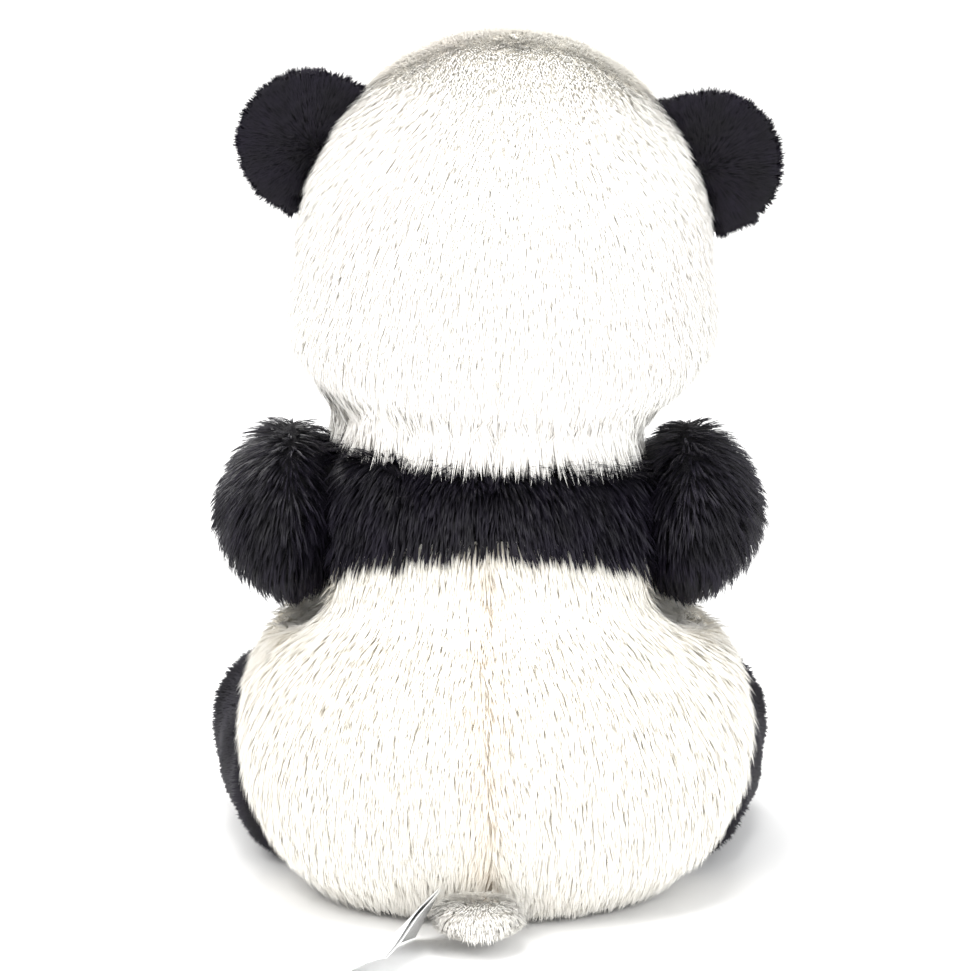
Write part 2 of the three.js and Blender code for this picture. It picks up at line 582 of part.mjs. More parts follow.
const faceSkin = headSkin.subtract(muzzleForm(GAP)).subtract(eyeHoles).subtract(eyePockets);
const BEHIND_FACE = [-12, FAR];
const FACE = [-FAR, -12 - GAP];
const besideGusset = { left: [GUSSET_HALF_WIDTH + GAP, FAR], right: [-FAR, -GUSSET_HALF_WIDTH - GAP] };
for (const [side, xs] of quarters) {
  addPiece(headFrame, `head_back_${side}`, mainBody(headSkin.intersect(block(xs, BEHIND_FACE, ALL))), CREAM);
  addPiece(headFrame, `cheek_${side}`, mainBody(faceSkin.intersect(block(besideGusset[side], FACE, ALL))), CREAM);
}
const gussetBand = [-GUSSET_HALF_WIDTH, GUSSET_HALF_WIDTH];
addPiece(headFrame, "forehead_gusset", mainBody(faceSkin.intersect(block(gussetBand, FACE, [muzzleAt.z, FAR]))), CREAM);
addPiece(headFrame, "chin_panel", mainBody(faceSkin.intersect(block(gussetBand, FACE, [-FAR, muzzleAt.z - GAP]))), CREAM);
addPiece(
  headFrame,
  "head_filling",
  mainBody(headForm(-PLUSH - GAP, CORE_SIDES).subtract(neckWay).subtract(eyePockets)),
  FIBRE,
);

const skullForMuzzle = headForm(GAP);
const noseTilt = new THREE.Matrix4().makeRotationX(rad(NOSE_TILT_DEG + 90));
const noseUp = rad(NOSE_TILT_DEG);
const noseAt = new THREE.Vector3(0, -MUZZLE_HALF[1] * Math.cos(noseUp), MUZZLE_HALF[2] * Math.sin(noseUp));
const noseFrame = new THREE.Matrix4().setPosition(noseAt.add(muzzleAt));
noseFrame.multiply(noseTilt.makeRotationX(Math.PI / 2 - noseUp));
const muzzleSkin = muzzleForm(0).subtract(muzzleForm(-MUZZLE_PLUSH)).subtract(skullForMuzzle);
addPiece(headFrame, "muzzle_cover", mainBody(muzzleSkin.subtract(placed(shankHole, noseFrame))), CREAM);
addPiece(
  headFrame,
  "muzzle_filling",
  mainBody(
    muzzleForm(-MUZZLE_PLUSH - GAP).subtract(skullForMuzzle).subtract(placed(washerPocket(MUZZLE_PLUSH), noseFrame)),
  ),
  FIBRE,
);
const shank = rod(SHANK_RADIUS, -SHANK_LENGTH, 1, 8);
const NOSE_STAND = 3 * GAP; // the nose's flat back clears the curved muzzle under it
const noseFront = ellipsoid(new THREE.Vector3(), [NOSE_HALF[0], NOSE_HALF[2], NOSE_HALF[1]]);
const noseHead = noseFront.subtract(block(ALL, ALL, [-FAR, NOSE_STAND])).add(shank.translate([0, 0, NOSE_STAND]));
const noseMount = new THREE.Group();
noseMount.applyMatrix4(noseFrame);
addPiece(noseMount, "nose", noseHead, GLOSS);
addPiece(noseMount, "nose_washer", washer(MUZZLE_PLUSH, MUZZLE_HALF[2] ** 2 / MUZZLE_HALF[1]), NYLON);
headFrame.add(noseMount);

// Mouth: one line down from the nose and a smile, laid on the muzzle.
function onMuzzle(acrossDeg, upDeg) {
  const out = MOUTH_THREAD_RADIUS + 2.5 * GAP;
  const a = rad(acrossDeg);
  const b = rad(upDeg);
  return new THREE.Vector3(
    (MUZZLE_HALF[0] + out) * Math.sin(a) * Math.cos(b),
    -(MUZZLE_HALF[1] + out) * Math.cos(a) * Math.cos(b),
    (MUZZLE_HALF[2] + out) * Math.sin(b),
  ).add(muzzleAt);
}

function threadAlong(points) {
  const section = new THREE.Shape().absarc(0, 0, MOUTH_THREAD_RADIUS, 0, 2 * Math.PI);
  const path = new THREE.CatmullRomCurve3(points);
  const g = new THREE.ExtrudeGeometry(section, { steps: 6, curveSegments: 3, extrudePath: path });
  return solidOf(g);
}

const mouth = threadAlong([onMuzzle(0, -4), onMuzzle(0, -12), onMuzzle(0, -22)]).add(
  threadAlong([onMuzzle(-34, -18), onMuzzle(-16, -27), onMuzzle(0, -21), onMuzzle(16, -27), onMuzzle(34, -18)]),
);
addPiece(headFrame, "mouth_stitching", mouth, THREAD);

const patchShell = headForm(GAP + PATCH_THICK).subtract(headForm(GAP));
for (const [side, m] of eyeFrames) {
  const oval = rod(1, -HEAD_RADIUS / 3, HEAD_RADIUS / 3, 14).scale([PATCH_HALF_WIDTH, PATCH_HALF_HEIGHT, 1]);
  const patch = mainBody(patchShell.intersect(placed(oval, m)).subtract(placed(shankHole, m)));
  addPiece(headFrame, `eye_patch_${side}`, patch, BLACK);
  const mount = new THREE.Group();
  mount.applyMatrix4(m);
  const standOff = PATCH_THICK + 4 * GAP;
  const dome = ellipsoid(new THREE.Vector3(0, 0, standOff), [EYE_RADIUS, EYE_RADIUS, EYE_HEIGHT])
    .subtract(block(ALL, ALL, [-FAR, standOff]))
    .add(shank.translate([0, 0, standOff]));
  addPiece(mount, `eye_${side}`, dome, GLOSS);
  addPiece(mount, `eye_washer_${side}`, washer(PLUSH, HEAD_RADIUS), NYLON);
  headFrame.add(mount);
}

// Ears: in a frame on the head's surface, +Z out from the head and +X along the seam.
const earUp = rad(EAR_ANGLE_DEG);
const earAt = new THREE.Vector3(HEAD_RADIUS * Math.cos(earUp), 0, HEAD_RISE + HEAD_TOP * Math.sin(earUp));
const earOut = new THREE.Vector3(Math.cos(earUp), 0, Math.sin(earUp));
const earBasis = new THREE.Matrix4().makeBasis(
  new THREE.Vector3(-Math.sin(earUp), 0, Math.cos(earUp)),
  new THREE.Vector3(0, 1, 0).negate(),
  earOut,
);
earBasis.setPosition(earAt);
const headOverEar = placed(headForm(EAR_FLEX_CLEARANCE), earBasis.clone().invert());
const earForm = ellipsoid(new THREE.Vector3(), [EAR_HALF_LENGTH, EAR_HALF_THICK, EAR_REACH], 16, 10).subtract(
  headOverEar,
);
for (const [side, sign] of [
  ["left", 1],
  ["right", -1],
]) {
  const sideFrame = new THREE.Group();
  sideFrame.scale.x = sign;
  const ear = new THREE.Group();
  ear.name = `ear_${side}`;
  ear.applyMatrix4(earBasis);
  addPiece(ear, `ear_${side}_front`, mainBody(earForm.intersect(block(ALL, BACK, ALL))), BLACK);
  addPiece(ear, `ear_${side}_back`, mainBody(earForm.intersect(block(ALL, FRONT, ALL))), BLACK);
  sideFrame.add(ear);
  headFrame.add(sideFrame);
}
toy.add(headFrame);

export default toy;
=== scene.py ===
# %% [markdown]
# # A seated plush panda
# The real toy is sewn from pieces of pile fabric, turned right side out and stuffed with loose fibre.
# Its measured frame (sizes, joints, names) is loaded first and stays as it is. Everything below builds
# the soft look around it: stuffed skins, the pile that grows on them, plastic eyes and nose, stitches
# and a satin care label. Lengths are in metres, Z is up and the face looks along -Y.

# %% Load the frame
import json
import math

import bmesh
import bpy
import numpy as np
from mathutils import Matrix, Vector
from mathutils.bvhtree import BVHTree


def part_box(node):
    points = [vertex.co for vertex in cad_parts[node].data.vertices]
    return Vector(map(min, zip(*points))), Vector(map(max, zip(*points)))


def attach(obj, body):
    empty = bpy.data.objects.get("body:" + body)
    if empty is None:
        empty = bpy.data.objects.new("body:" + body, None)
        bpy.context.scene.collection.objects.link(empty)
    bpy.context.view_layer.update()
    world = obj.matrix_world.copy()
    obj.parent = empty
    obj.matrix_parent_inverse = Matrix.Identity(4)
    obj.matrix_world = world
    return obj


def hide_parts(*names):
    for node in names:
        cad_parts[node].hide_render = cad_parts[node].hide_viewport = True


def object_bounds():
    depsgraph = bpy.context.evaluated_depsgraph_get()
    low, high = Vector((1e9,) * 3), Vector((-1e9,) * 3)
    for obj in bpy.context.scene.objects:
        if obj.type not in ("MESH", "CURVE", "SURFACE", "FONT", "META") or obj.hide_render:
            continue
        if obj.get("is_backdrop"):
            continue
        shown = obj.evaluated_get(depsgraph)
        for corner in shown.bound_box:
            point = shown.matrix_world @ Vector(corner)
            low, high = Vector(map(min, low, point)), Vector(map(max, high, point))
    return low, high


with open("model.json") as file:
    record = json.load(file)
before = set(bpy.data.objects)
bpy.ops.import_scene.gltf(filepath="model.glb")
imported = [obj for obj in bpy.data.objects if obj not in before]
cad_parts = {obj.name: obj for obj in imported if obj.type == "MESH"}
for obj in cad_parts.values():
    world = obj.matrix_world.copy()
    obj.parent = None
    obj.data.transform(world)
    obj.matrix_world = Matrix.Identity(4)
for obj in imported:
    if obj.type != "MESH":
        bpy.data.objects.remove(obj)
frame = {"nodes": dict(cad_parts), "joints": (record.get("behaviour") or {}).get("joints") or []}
cad_low, cad_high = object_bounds()
MM = 0.001
joints = {joint["name"]: joint for joint in frame["joints"]}
print("frame size in mm:", [round((cad_high[k] - cad_low[k]) / MM, 1) for k in range(3)])

# %% [markdown]
# ## Camera, floor and light
# A long lens far away flattens perspective, which is how a small toy is usually shown. The camera looks
# at the back of the toy from slightly above. The studio is a pale floor under a bright, even sky with a
# few large soft lamps, so that the black pile keeps its gloss and the cream pile its soft shade.

# %% Camera
VIEW_AZIMUTH, VIEW_ELEVATION = math.radians(180), math.radians(12)
VIEW_DISTANCE = 2.6
VIEW_WIDTH = 0.3308
SENSOR = 36.0
toward = Vector(
    (
        math.sin(VIEW_AZIMUTH) * math.cos(VIEW_ELEVATION),
        math.cos(VIEW_AZIMUTH) * math.cos(VIEW_ELEVATION),
        -math.sin(VIEW_ELEVATION),
    )
)
look_at = Vector((0.0017, 0.0, 0.1412))
camera_data = bpy.data.cameras.new("studio_camera")
camera_data.sensor_width = SENSOR
camera_data.lens = SENSOR * VIEW_DISTANCE / VIEW_WIDTH
camera_data.clip_start, camera_data.clip_end = 0.05, 50
camera = bpy.data.objects.new("studio_camera", camera_data)
camera.location = look_at - toward * VIEW_DISTANCE
camera.rotation_euler = toward.to_track_quat("-Z", "Y").to_euler()
bpy.context.scene.collection.objects.link(camera)
bpy.context.scene.camera = camera
print("camera at", [round(v, 3) for v in camera.location], "lens", round(camera_data.lens, 1), "mm")


# %% Lamps and sky
def area_lamp(name, place, size, watts, colour):
    data = bpy.data.lights.new(name, "AREA")
    data.shape, data.size, data.energy, data.color = "DISK", size, watts, colour
    lamp = bpy.data.objects.new(name, data)
    lamp.location = place
    lamp.rotation_euler = (Vector((0, 0, 0.12)) - Vector(place)).to_track_quat("-Z", "Y").to_euler()
    bpy.context.scene.collection.objects.link(lamp)


area_lamp("key_lamp", (0.9, 1.1, 1.5), 0.9, 17, (1.0, 0.99, 0.97))
area_lamp("fill_lamp", (-1.3, 0.9, 0.9), 1.0, 10, (0.96, 0.98, 1.0))
area_lamp("front_lamp", (0.6, -1.5, 1.1), 1.0, 14, (1.0, 0.99, 0.97))
area_lamp("top_lamp", (0.0, 0.35, 1.7), 0.8, 16, (1.0, 0.995, 0.98))
sky = bpy.data.worlds.new("studio_sky")
sky.use_nodes = True
sky.node_tree.nodes["Background"].inputs["Color"].default_value = (1.0, 1.0, 1.0, 1)
sky.node_tree.nodes["Background"].inputs["Strength"].default_value = 1.0
bpy.context.scene.world = sky
bpy.context.scene.view_settings.view_transform = "Standard"

# %% [markdown]
# ## Finishes
# Every finish is a small node graph. `Wire` wraps a node's output so that shader maths reads as ordinary
# Python, and `Finish` holds one material with a Principled shader. Constants are typed onto the shader;
# only what changes over a surface is wired.


# %% Shader helpers
class Wire:
    """One output of a node. Arithmetic on it adds Math nodes."""

    def __init__(self, finish, socket):
        self.finish, self.socket = finish, socket

    def maths(self, operation, other, swapped=False):
        pair = (other, self) if swapped else (self, other)
        return self.finish.node("ShaderNodeMath", {"operation": operation}, {0: pair[0], 1: pair[1]})

    def __add__(self, other):
        return self.maths("ADD", other)

    def __sub__(self, other):
        return self.maths("SUBTRACT", other)

    def __rsub__(self, other):
        return self.maths("SUBTRACT", other, True)

    def __mul__(self, other):
        return self.maths("MULTIPLY", other)

    def size(self):
        return self.maths("ABSOLUTE", 0.0)

    __radd__, __rmul__ = __add__, __mul__


class Finish:
    """A material whose nodes are added one call at a time."""

    def __init__(self, name, **constants):
        self.material = bpy.data.materials.new(name)
        self.material.use_nodes = True
        self.tree = self.material.node_tree
        self.shader = self.tree.nodes["Principled BSDF"]
        for socket, value in constants.items():
            self.shader.inputs[socket.replace("_", " ")].default_value = value

    def node(self, kind, settings=None, inputs=None, output=0):
        made = self.tree.nodes.new(kind)
        for key, value in (settings or {}).items():
            if key == "stops":
                for stop, (place, colour) in zip(made.color_ramp.elements, value):
                    stop.position, stop.color = place, colour
            else:
                setattr(made, key, value)
        for socket, value in (inputs or {}).items():
            self.feed(made.inputs[socket], value)
        return Wire(self, made.outputs[output])

    def feed(self, socket, value):
        if isinstance(value, Wire):
            self.tree.links.new(value.socket, socket)
        else:
            socket.default_value = value

    def place(self):
        return self.node("ShaderNodeTexCoord", output="Object")

    def along(self):
        """0 at the root of a strand and 1 at its tip."""
        return self.node("ShaderNodeAttribute", {"attribute_name": "along"}, output="Fac")

    def noise(self, scale, detail=3.0, rough=0.55, stretch=None):
        place = self.place()
        if stretch:
            place = self.node("ShaderNodeMapping", inputs={"Vector": place, "Scale": stretch})
        inputs = {"Vector": place, "Scale": scale, "Detail": detail, "Roughness": rough}
        return self.node("ShaderNodeTexNoise", inputs=inputs)

    def between(self, low, high, value):
        return self.node(
            "ShaderNodeMapRange", {"clamp": True}, {"Value": value, "From Min": low, "From Max": high}
        )

    def mix(self, share, first, second):
        return self.node(
            "ShaderNodeMix", {"data_type": "RGBA"}, {0: share, 6: first, 7: second}, output=2
        )

    def wear(self, colour=None, roughness=None, height=None, depth=0.0005, strength=0.6):
        if colour is not None:
            self.feed(self.shader.inputs["Base Color"], colour)
        if roughness is not None:
            self.feed(self.shader.inputs["Roughness"], roughness)
        if height is not None:
            bump = self.node(
                "ShaderNodeBump", inputs={"Height": height, "Distance": depth, "Strength": strength}
            )
            self.feed(self.shader.inputs["Normal"], bump)
        return self.material


# %% [markdown]
# ### Cream pile and black pile
# Each strand's colour is a little darker and warmer at its root, painted shade where less light reaches, and
# palest at its tip.
# Broad, faint noise makes some locks warmer than others. Along the middle of the back the cream pile has
# been rubbed and has yellowed. The black pile has a soft gloss; its tips are a faint cool violet, partly the
# pile's own tint and partly painted sheen, and its roots are darker with painted shade.

# %% Pile finishes
PILE_SHADE = {"Specular_IOR_Level": 0.25, "Sheen_Weight": 0.35, "Sheen_Roughness": 0.5}
# The root colours are darker than the tip colours: painted shade at each strand's root.
CREAM_ROOT_SHADED, CREAM_TIP = (0.92, 0.87, 0.76, 1), (0.975, 0.955, 0.90, 1)
RUBBED = (0.80, 0.68, 0.54, 1)
# The black root colour is darker than the tips: painted shade. The violet in the tip colours is partly the
# pile's own tint and partly painted sheen.
BLACK_ROOT_SHADED, BLACK_TIP = (0.003, 0.003, 0.004, 1), (0.010, 0.009, 0.013, 1)


def rubbed_seam(finish):
    """How yellowed the cream is: strongest on the middle of the lower back."""
    axes = finish.node("ShaderNodeSeparateXYZ", inputs={"Vector": finish.place()})
    parts = axes.socket.node
    across = Wire(finish, parts.outputs["X"])
    back = Wire(finish, parts.outputs["Y"])
    height = Wire(finish, parts.outputs["Z"])
    wander = (finish.noise(38, 2.0) - 0.5) * 0.012
    stripe = finish.between(0.011, 0.001, (across - 0.001 + wander).size())
    behind = finish.between(0.02, 0.04, back) * finish.between(0.088, 0.083, back)
    low = finish.between(0.145, 0.118, height)
    patches = finish.between(0.42, 0.62, finish.noise(60, 2.0))
    return stripe * behind * low * (0.2 + patches * 0.6)


def cream_pile_finish():
    finish = Finish("cream_pile", Roughness=0.82, **PILE_SHADE)
    tip = finish.mix(finish.between(0.35, 0.75, finish.noise(45)), CREAM_TIP, (0.955, 0.925, 0.86, 1))
    # From root to tip: painted shade at the root, fading out towards the tip.
    strand = finish.mix(finish.between(0.0, 0.75, finish.along()), CREAM_ROOT_SHADED, tip)
    return finish.wear(colour=finish.mix(rubbed_seam(finish) * 0.5, strand, RUBBED))


def head_pile_finish():
    finish = Finish("white_head_pile", Roughness=0.85, **PILE_SHADE)
    warmer = finish.between(0.3, 0.8, finish.noise(30))
    tip = finish.mix(warmer, (0.955, 0.945, 0.905, 1), (0.95, 0.92, 0.885, 1))
    # The root colour is darker than the tips: painted shade at the strand's root.
    root = (0.945, 0.92, 0.87, 1)
    return finish.wear(colour=finish.mix(finish.between(0.0, 0.6, finish.along()), root, tip))


def black_pile_finish():
    finish = Finish(
        "black_pile",
        Roughness=0.46,
        Specular_IOR_Level=0.17,
        Sheen_Weight=0.04,
        Sheen_Roughness=0.3,
        Sheen_Tint=(0.62, 0.58, 0.95, 1),
    )
    # Violet tips: partly the pile's own tint and partly painted sheen. From root to tip: painted shade at the
    # root.
    tip = finish.mix(finish.between(0.35, 0.7, finish.noise(70)), BLACK_TIP, (0.016, 0.013, 0.024, 1))
    return finish.wear(colour=finish.mix(finish.along(), BLACK_ROOT_SHADED, tip))


cream_pile, head_pile, black_pile = cream_pile_finish(), head_pile_finish(), black_pile_finish()

# %% [markdown]
# ### The backing under the pile, velour, plastic, thread and satin
# Between strands the eye sees the knitted backing, darker and finely ribbed. The soles are short velour,
# eyes and nose are moulded plastic, the mouth is twisted thread and the label is woven satin.


# %% Other finishes
def backing_finish(name, dark, light, roughness):
    finish = Finish(name, Roughness=roughness, Specular_IOR_Level=0.2)
    hairs = finish.noise(900, 4.0, 0.7)
    colour = finish.mix(finish.between(0.3, 0.7, hairs), dark, light)
    if light[0] > 0.5:
        colour = finish.mix(rubbed_seam(finish), colour, RUBBED)
    return finish.wear(colour=colour, height=hairs, depth=0.0012, strength=0.9)


cream_backing = backing_finish("cream_backing", (0.90, 0.86, 0.78, 1), (0.97, 0.95, 0.90, 1), 0.95)
black_backing = backing_finish("black_backing", (0.003, 0.003, 0.004, 1), (0.009, 0.008, 0.011, 1), 0.85)
velour = backing_finish("black_velour", (0.012, 0.011, 0.014, 1), (0.040, 0.036, 0.045, 1), 0.9)
fibre = backing_finish("fibre_filling", (0.70, 0.70, 0.68, 1), (0.88, 0.88, 0.86, 1), 1.0)


def plastic_finish(name, colour, roughness, coat):
    finish = Finish(name, Coat_Weight=coat, Coat_Roughness=0.04, Specular_IOR_Level=0.5)
    scuffs = finish.noise(400, 5.0, 0.7)
    worn = finish.between(0.45, 0.8, scuffs)
    paler = tuple(min(1.0, c * 1.6 + 0.004) for c in colour[:3]) + (1,)
    shade = finish.mix(worn, colour, paler)
    return finish.wear(colour=shade, roughness=roughness + worn * 0.12, height=scuffs, depth=0.00004)


gloss_black = plastic_finish("gloss_black", (0.008, 0.006, 0.005, 1), 0.12, 0.6)
nylon = plastic_finish("nylon", (0.66, 0.66, 0.63, 1), 0.42, 0.0)


def thread_finish():
    finish = Finish("dark_thread", Sheen_Weight=0.3, Specular_IOR_Level=0.4)
    twist = finish.node(
        "ShaderNodeTexWave",
        {"bands_direction": "DIAGONAL"},
        {"Vector": finish.place(), "Scale": 700, "Distortion": 1.5, "Detail": 2.0},
    )
    colour = finish.mix(twist, (0.010, 0.008, 0.007, 1), (0.045, 0.036, 0.032, 1))
    return finish.wear(colour=colour, roughness=0.5 + twist * 0.25, height=twist, depth=0.0002)


def satin_finish():
    finish = Finish("satin", Specular_IOR_Level=0.6, Anisotropic=0.5, Sheen_Weight=0.2)
    threads = {"Vector": finish.place(), "Scale": 900, "Distortion": 0.6}
    weave = finish.node("ShaderNodeTexWave", {"bands_direction": "Y"}, threads)
    creases = finish.noise(140, 2.0, stretch=(1, 3, 1))
    colour = finish.mix(weave * 0.5, (0.93, 0.93, 0.92, 1), (0.84, 0.84, 0.84, 1))
    relief = weave + creases * 3
    return finish.wear(colour=colour, roughness=0.32 + creases * 0.2, height=relief, depth=0.00015)


dark_thread, satin = thread_finish(), satin_finish()


def floor_finish():
    finish = Finish("pale_floor", Roughness=0.9, Specular_IOR_Level=0.1)
    return finish.wear(colour=finish.mix(finish.noise(3, 2.0), (0.93, 0.93, 0.93, 1), (0.95, 0.95, 0.95, 1)))


# %% Floor
def new_object(name, mesh, *materials):
    made = bpy.data.objects.new(name, mesh)
    for material in materials:
        mesh.materials.append(material)
    bpy.context.scene.collection.objects.link(made)
    return made


floor_mesh = bpy.data.meshes.new("studio_floor")
FLOOR_HALF = 6.0
corners = [(FLOOR_HALF * x, FLOOR_HALF * y, 0) for x, y in ((-1, -1), (1, -1), (1, 1), (-1, 1))]
floor_mesh.from_pydata(corners, [], [(0, 1, 2, 3)])
new_object("studio_floor", floor_mesh, floor_finish())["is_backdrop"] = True

# %% [markdown]
# ## Stuffed skins
# A stuffed skin is round, taut and a little uneven, because fibre pushes out from inside until the sewn
# fabric stops it. It could be sculpted by hand, but a cloth simulation finds that shape by itself: the
# frame's panels are joined, remeshed into small even faces, smoothed, made slightly smaller and then blown
# up by pressure with gravity off. The push is capped so that no piece leaves the space it was measured in.


# %% Joining and remeshing
def lump_of(name, meshes):
    """One new object holding merged copies of these meshes."""
    bm = bmesh.new()
    for source in meshes:
        bm.from_mesh(source)
    bmesh.ops.remove_doubles(bm, verts=bm.verts, dist=0.00002)
    mesh = bpy.data.meshes.new(name)
    bm.to_mesh(mesh)
    bm.free()
    return new_object(name, mesh)


def settled(piece):
    """Replaces the piece's mesh by what its modifiers make of it."""
    made = bpy.data.meshes.new_from_object(piece.evaluated_get(bpy.context.evaluated_depsgraph_get()))
    piece.modifiers.clear()
    piece.data = made
    return piece


def keep_largest_shell(piece):
    bm = bmesh.new()
    bm.from_mesh(piece.data)
    left, shells = set(bm.verts), []
    while left:
        shell, edge = [], [left.pop()]
        while edge:
            vert = edge.pop()
            shell.append(vert)
            for link in vert.link_edges:
                other = link.other_vert(vert)
                if other in left:
                    left.remove(other)
                    edge.append(other)
        shells.append(shell)
    largest = max(shells, key=len)
    bmesh.ops.delete(bm, geom=[v for shell in shells if shell is not largest for v in shell], context="VERTS")
    bm.to_mesh(piece.data)
    bm.free()


def corners_of(mesh):
    flat = np.empty(len(mesh.vertices) * 3)
    mesh.vertices.foreach_get("co", flat)
    return flat.reshape(-1, 3)


def normals_of(mesh):
    flat = np.empty(len(mesh.vertices) * 3, np.float32)
    mesh.vertex_normals.foreach_get("vector", flat)
    return flat.reshape(-1, 3).astype(float)


def set_corners(mesh, places):
    mesh.vertices.foreach_set("co", places.astype(np.float32).ravel())
    mesh.update()


def frame_meshes(nodes):
    return [frame["nodes"][node].data for node in nodes]


def lumpy_skin(name, meshes, voxel, smoothing, inset):
    """The remeshed, smoothed and slightly shrunken start of a stuffed skin."""
    piece = lump_of(name, meshes)
    remesh = piece.modifiers.new("even_faces", "REMESH")
    remesh.mode, remesh.voxel_size = "VOXEL", voxel
    settled(piece)
    keep_largest_shell(piece)
    smooth = piece.modifiers.new("soften", "SMOOTH")
    smooth.factor, smooth.iterations = 0.5, smoothing
    settled(piece)
    set_corners(piece.data, corners_of(piece.data) - normals_of(piece.data) * inset)
    return piece


# %% The skins before stuffing
HEAD_PANELS = ["head_back_left", "head_back_right", "cheek_left", "cheek_right"]
HEAD_PANELS += ["forehead_gusset", "chin_panel"]
YOKE_PANELS = ["yoke_back_left", "yoke_back_right", "chest_left", "chest_right"]
HIP_PANELS = ["back_panel_left", "back_panel_right", "belly_panel_left", "belly_panel_right"]
HIP_PANELS += ["seat_base_panel"]
# Each skin: its nodes, voxel size, smoothing rounds, inset and furthest swelling (sizes in mm).
SKINS = {
    "head_skin": (HEAD_PANELS + ["head_filling"], 4.2, 14, 2.6, 3.2),
    "torso_skin": (YOKE_PANELS + HIP_PANELS + ["body_filling", "pellet_pouch"], 4.8, 8, 4.4, 3.2),
    "muzzle_skin": (["muzzle_cover", "muzzle_filling"], 2.2, 6, 0.8, 1.5),
    "tail_skin": (["tail_top", "tail_under"], 2.4, 4, 0.5, 1.2),
    "neck_core": (["neck_filling"], 4.0, 2, 1.0, 0.5),
}
for side in ("left", "right"):
    SKINS[f"ear_{side}_skin"] = ([f"ear_{side}_front", f"ear_{side}_back"], 2.4, 5, 0.5, 1.2)
    SKINS[f"eye_patch_{side}_skin"] = ([f"eye_patch_{side}"], 1.0, 2, 0.0, 0.4)
    arm_nodes = [f"arm_{side}_outer", f"arm_{side}_inner", f"arm_{side}_filling"]
    SKINS[f"arm_{side}_skin"] = (arm_nodes, 4.2, 8, 4.2, 2.4)
    leg_nodes = [f"leg_{side}_top", f"leg_{side}_under", f"sole_{side}", f"leg_{side}_filling"]
    SKINS[f"leg_{side}_skin"] = (leg_nodes, 4.2, 8, 1.6, 2.2)
skins = {}
for name, (nodes, voxel, smoothing, inset, cap) in SKINS.items():
    skins[name] = lumpy_skin(name, frame_meshes(nodes), voxel * MM, smoothing, inset * MM)
    print(name, len(skins[name].data.vertices), "corners before stuffing")

# %% [markdown]
# ### Blowing the skins up
# All skins are simulated together, one Cloth modifier each, for twenty frames. Afterwards each corner's
# travel is capped, the modifier is gone and one round of subdivision makes the surface fine enough for
# seams and pile.

# %% Stuffing by pressure
STUFFING_FRAMES = 20
before = {name: corners_of(skin.data) for name, skin in skins.items()}
for skin in skins.values():
    cloth = skin.modifiers.new("stuffing", "CLOTH")
    cloth.settings.quality = 4
    cloth.settings.mass = 0.3
    cloth.settings.use_pressure = True
    cloth.settings.uniform_pressure_force = 4.0
    cloth.settings.effector_weights.gravity = 0
    cloth.point_cache.frame_start, cloth.point_cache.frame_end = 1, STUFFING_FRAMES
for number in range(1, STUFFING_FRAMES + 1):
    bpy.context.scene.frame_set(number)
for skin in skins.values():
    settled(skin)
bpy.context.scene.frame_set(1)
for name, skin in skins.items():
    cap = SKINS[name][4] * MM
    travel = corners_of(skin.data) - before[name]
    length = np.linalg.norm(travel, axis=1, keepdims=True)
    set_corners(skin.data, before[name] + travel * np.minimum(1, cap / np.maximum(length, 1e-9)))
    finer = skin.modifiers.new("finer", "SUBSURF")
    finer.levels = finer.render_levels = 1
    settled(skin)
    print(name, "swelled", round(float(np.median(length)) / MM, 2), "mm, capped at", SKINS[name][4])

# %% [markdown]
# ### Shoulders
# Arms and yoke are sewn from the same long pile and read as one round shape, with no notch between them.
# So the arms and the torso are joined into one lump, its creases are filled by smoothing that only ever
# moves corners outwards, and the torso's skin near the shoulder seam is lifted onto that shape.


# %% Filled creases
def shell_of(mesh):
    bm = bmesh.new()
    bm.from_mesh(mesh)
    tree = BVHTree.FromBMesh(bm)
    bm.free()
    return tree


def faded(value, low, high):
    """0 below low, 1 above high and smooth between, for whole arrays."""
    t = np.clip((value - low) / (high - low), 0, 1)
    return t * t * (3 - 2 * t)


def fill_creases(mesh, rounds):
    """Smooths the mesh, but moves a corner only where that takes it outwards."""
    edges = np.array([edge.vertices[:] for edge in mesh.edges])
    ends = np.concatenate([edges[:, 0], edges[:, 1]])
    others = np.concatenate([edges[:, 1], edges[:, 0]])
    count = np.bincount(ends, minlength=len(mesh.vertices))
    for _ in range(rounds):
        places, normal = corners_of(mesh), normals_of(mesh)
        total = [np.bincount(ends, places[others, k], len(count)) for k in range(3)]
        mean = np.stack(total, axis=1) / count[:, None]
        outward = np.maximum(((mean - places) * normal).sum(axis=1), 0)
        set_corners(mesh, places + normal * outward[:, None])


def lift_onto(skin, shell, weight, reach):
    """Moves corners along their normals onto the shell where it is less than reach away."""
    places, normal = corners_of(skin.data), normals_of(skin.data)
    gap = np.zeros(len(places))
    for i in np.nonzero(weight)[0]:
        at, _, _, distance = shell.ray_cast(Vector(places[i]), Vector(normal[i]), reach)
        if at is not None:
            gap[i] = distance * min(1.0, 2 * (reach - distance) / reach)
    set_corners(skin.data, places + normal * (gap * weight)[:, None])
    print(skin.name, "lifted by up to", round(float((gap * weight).max()) / MM, 1), "mm")


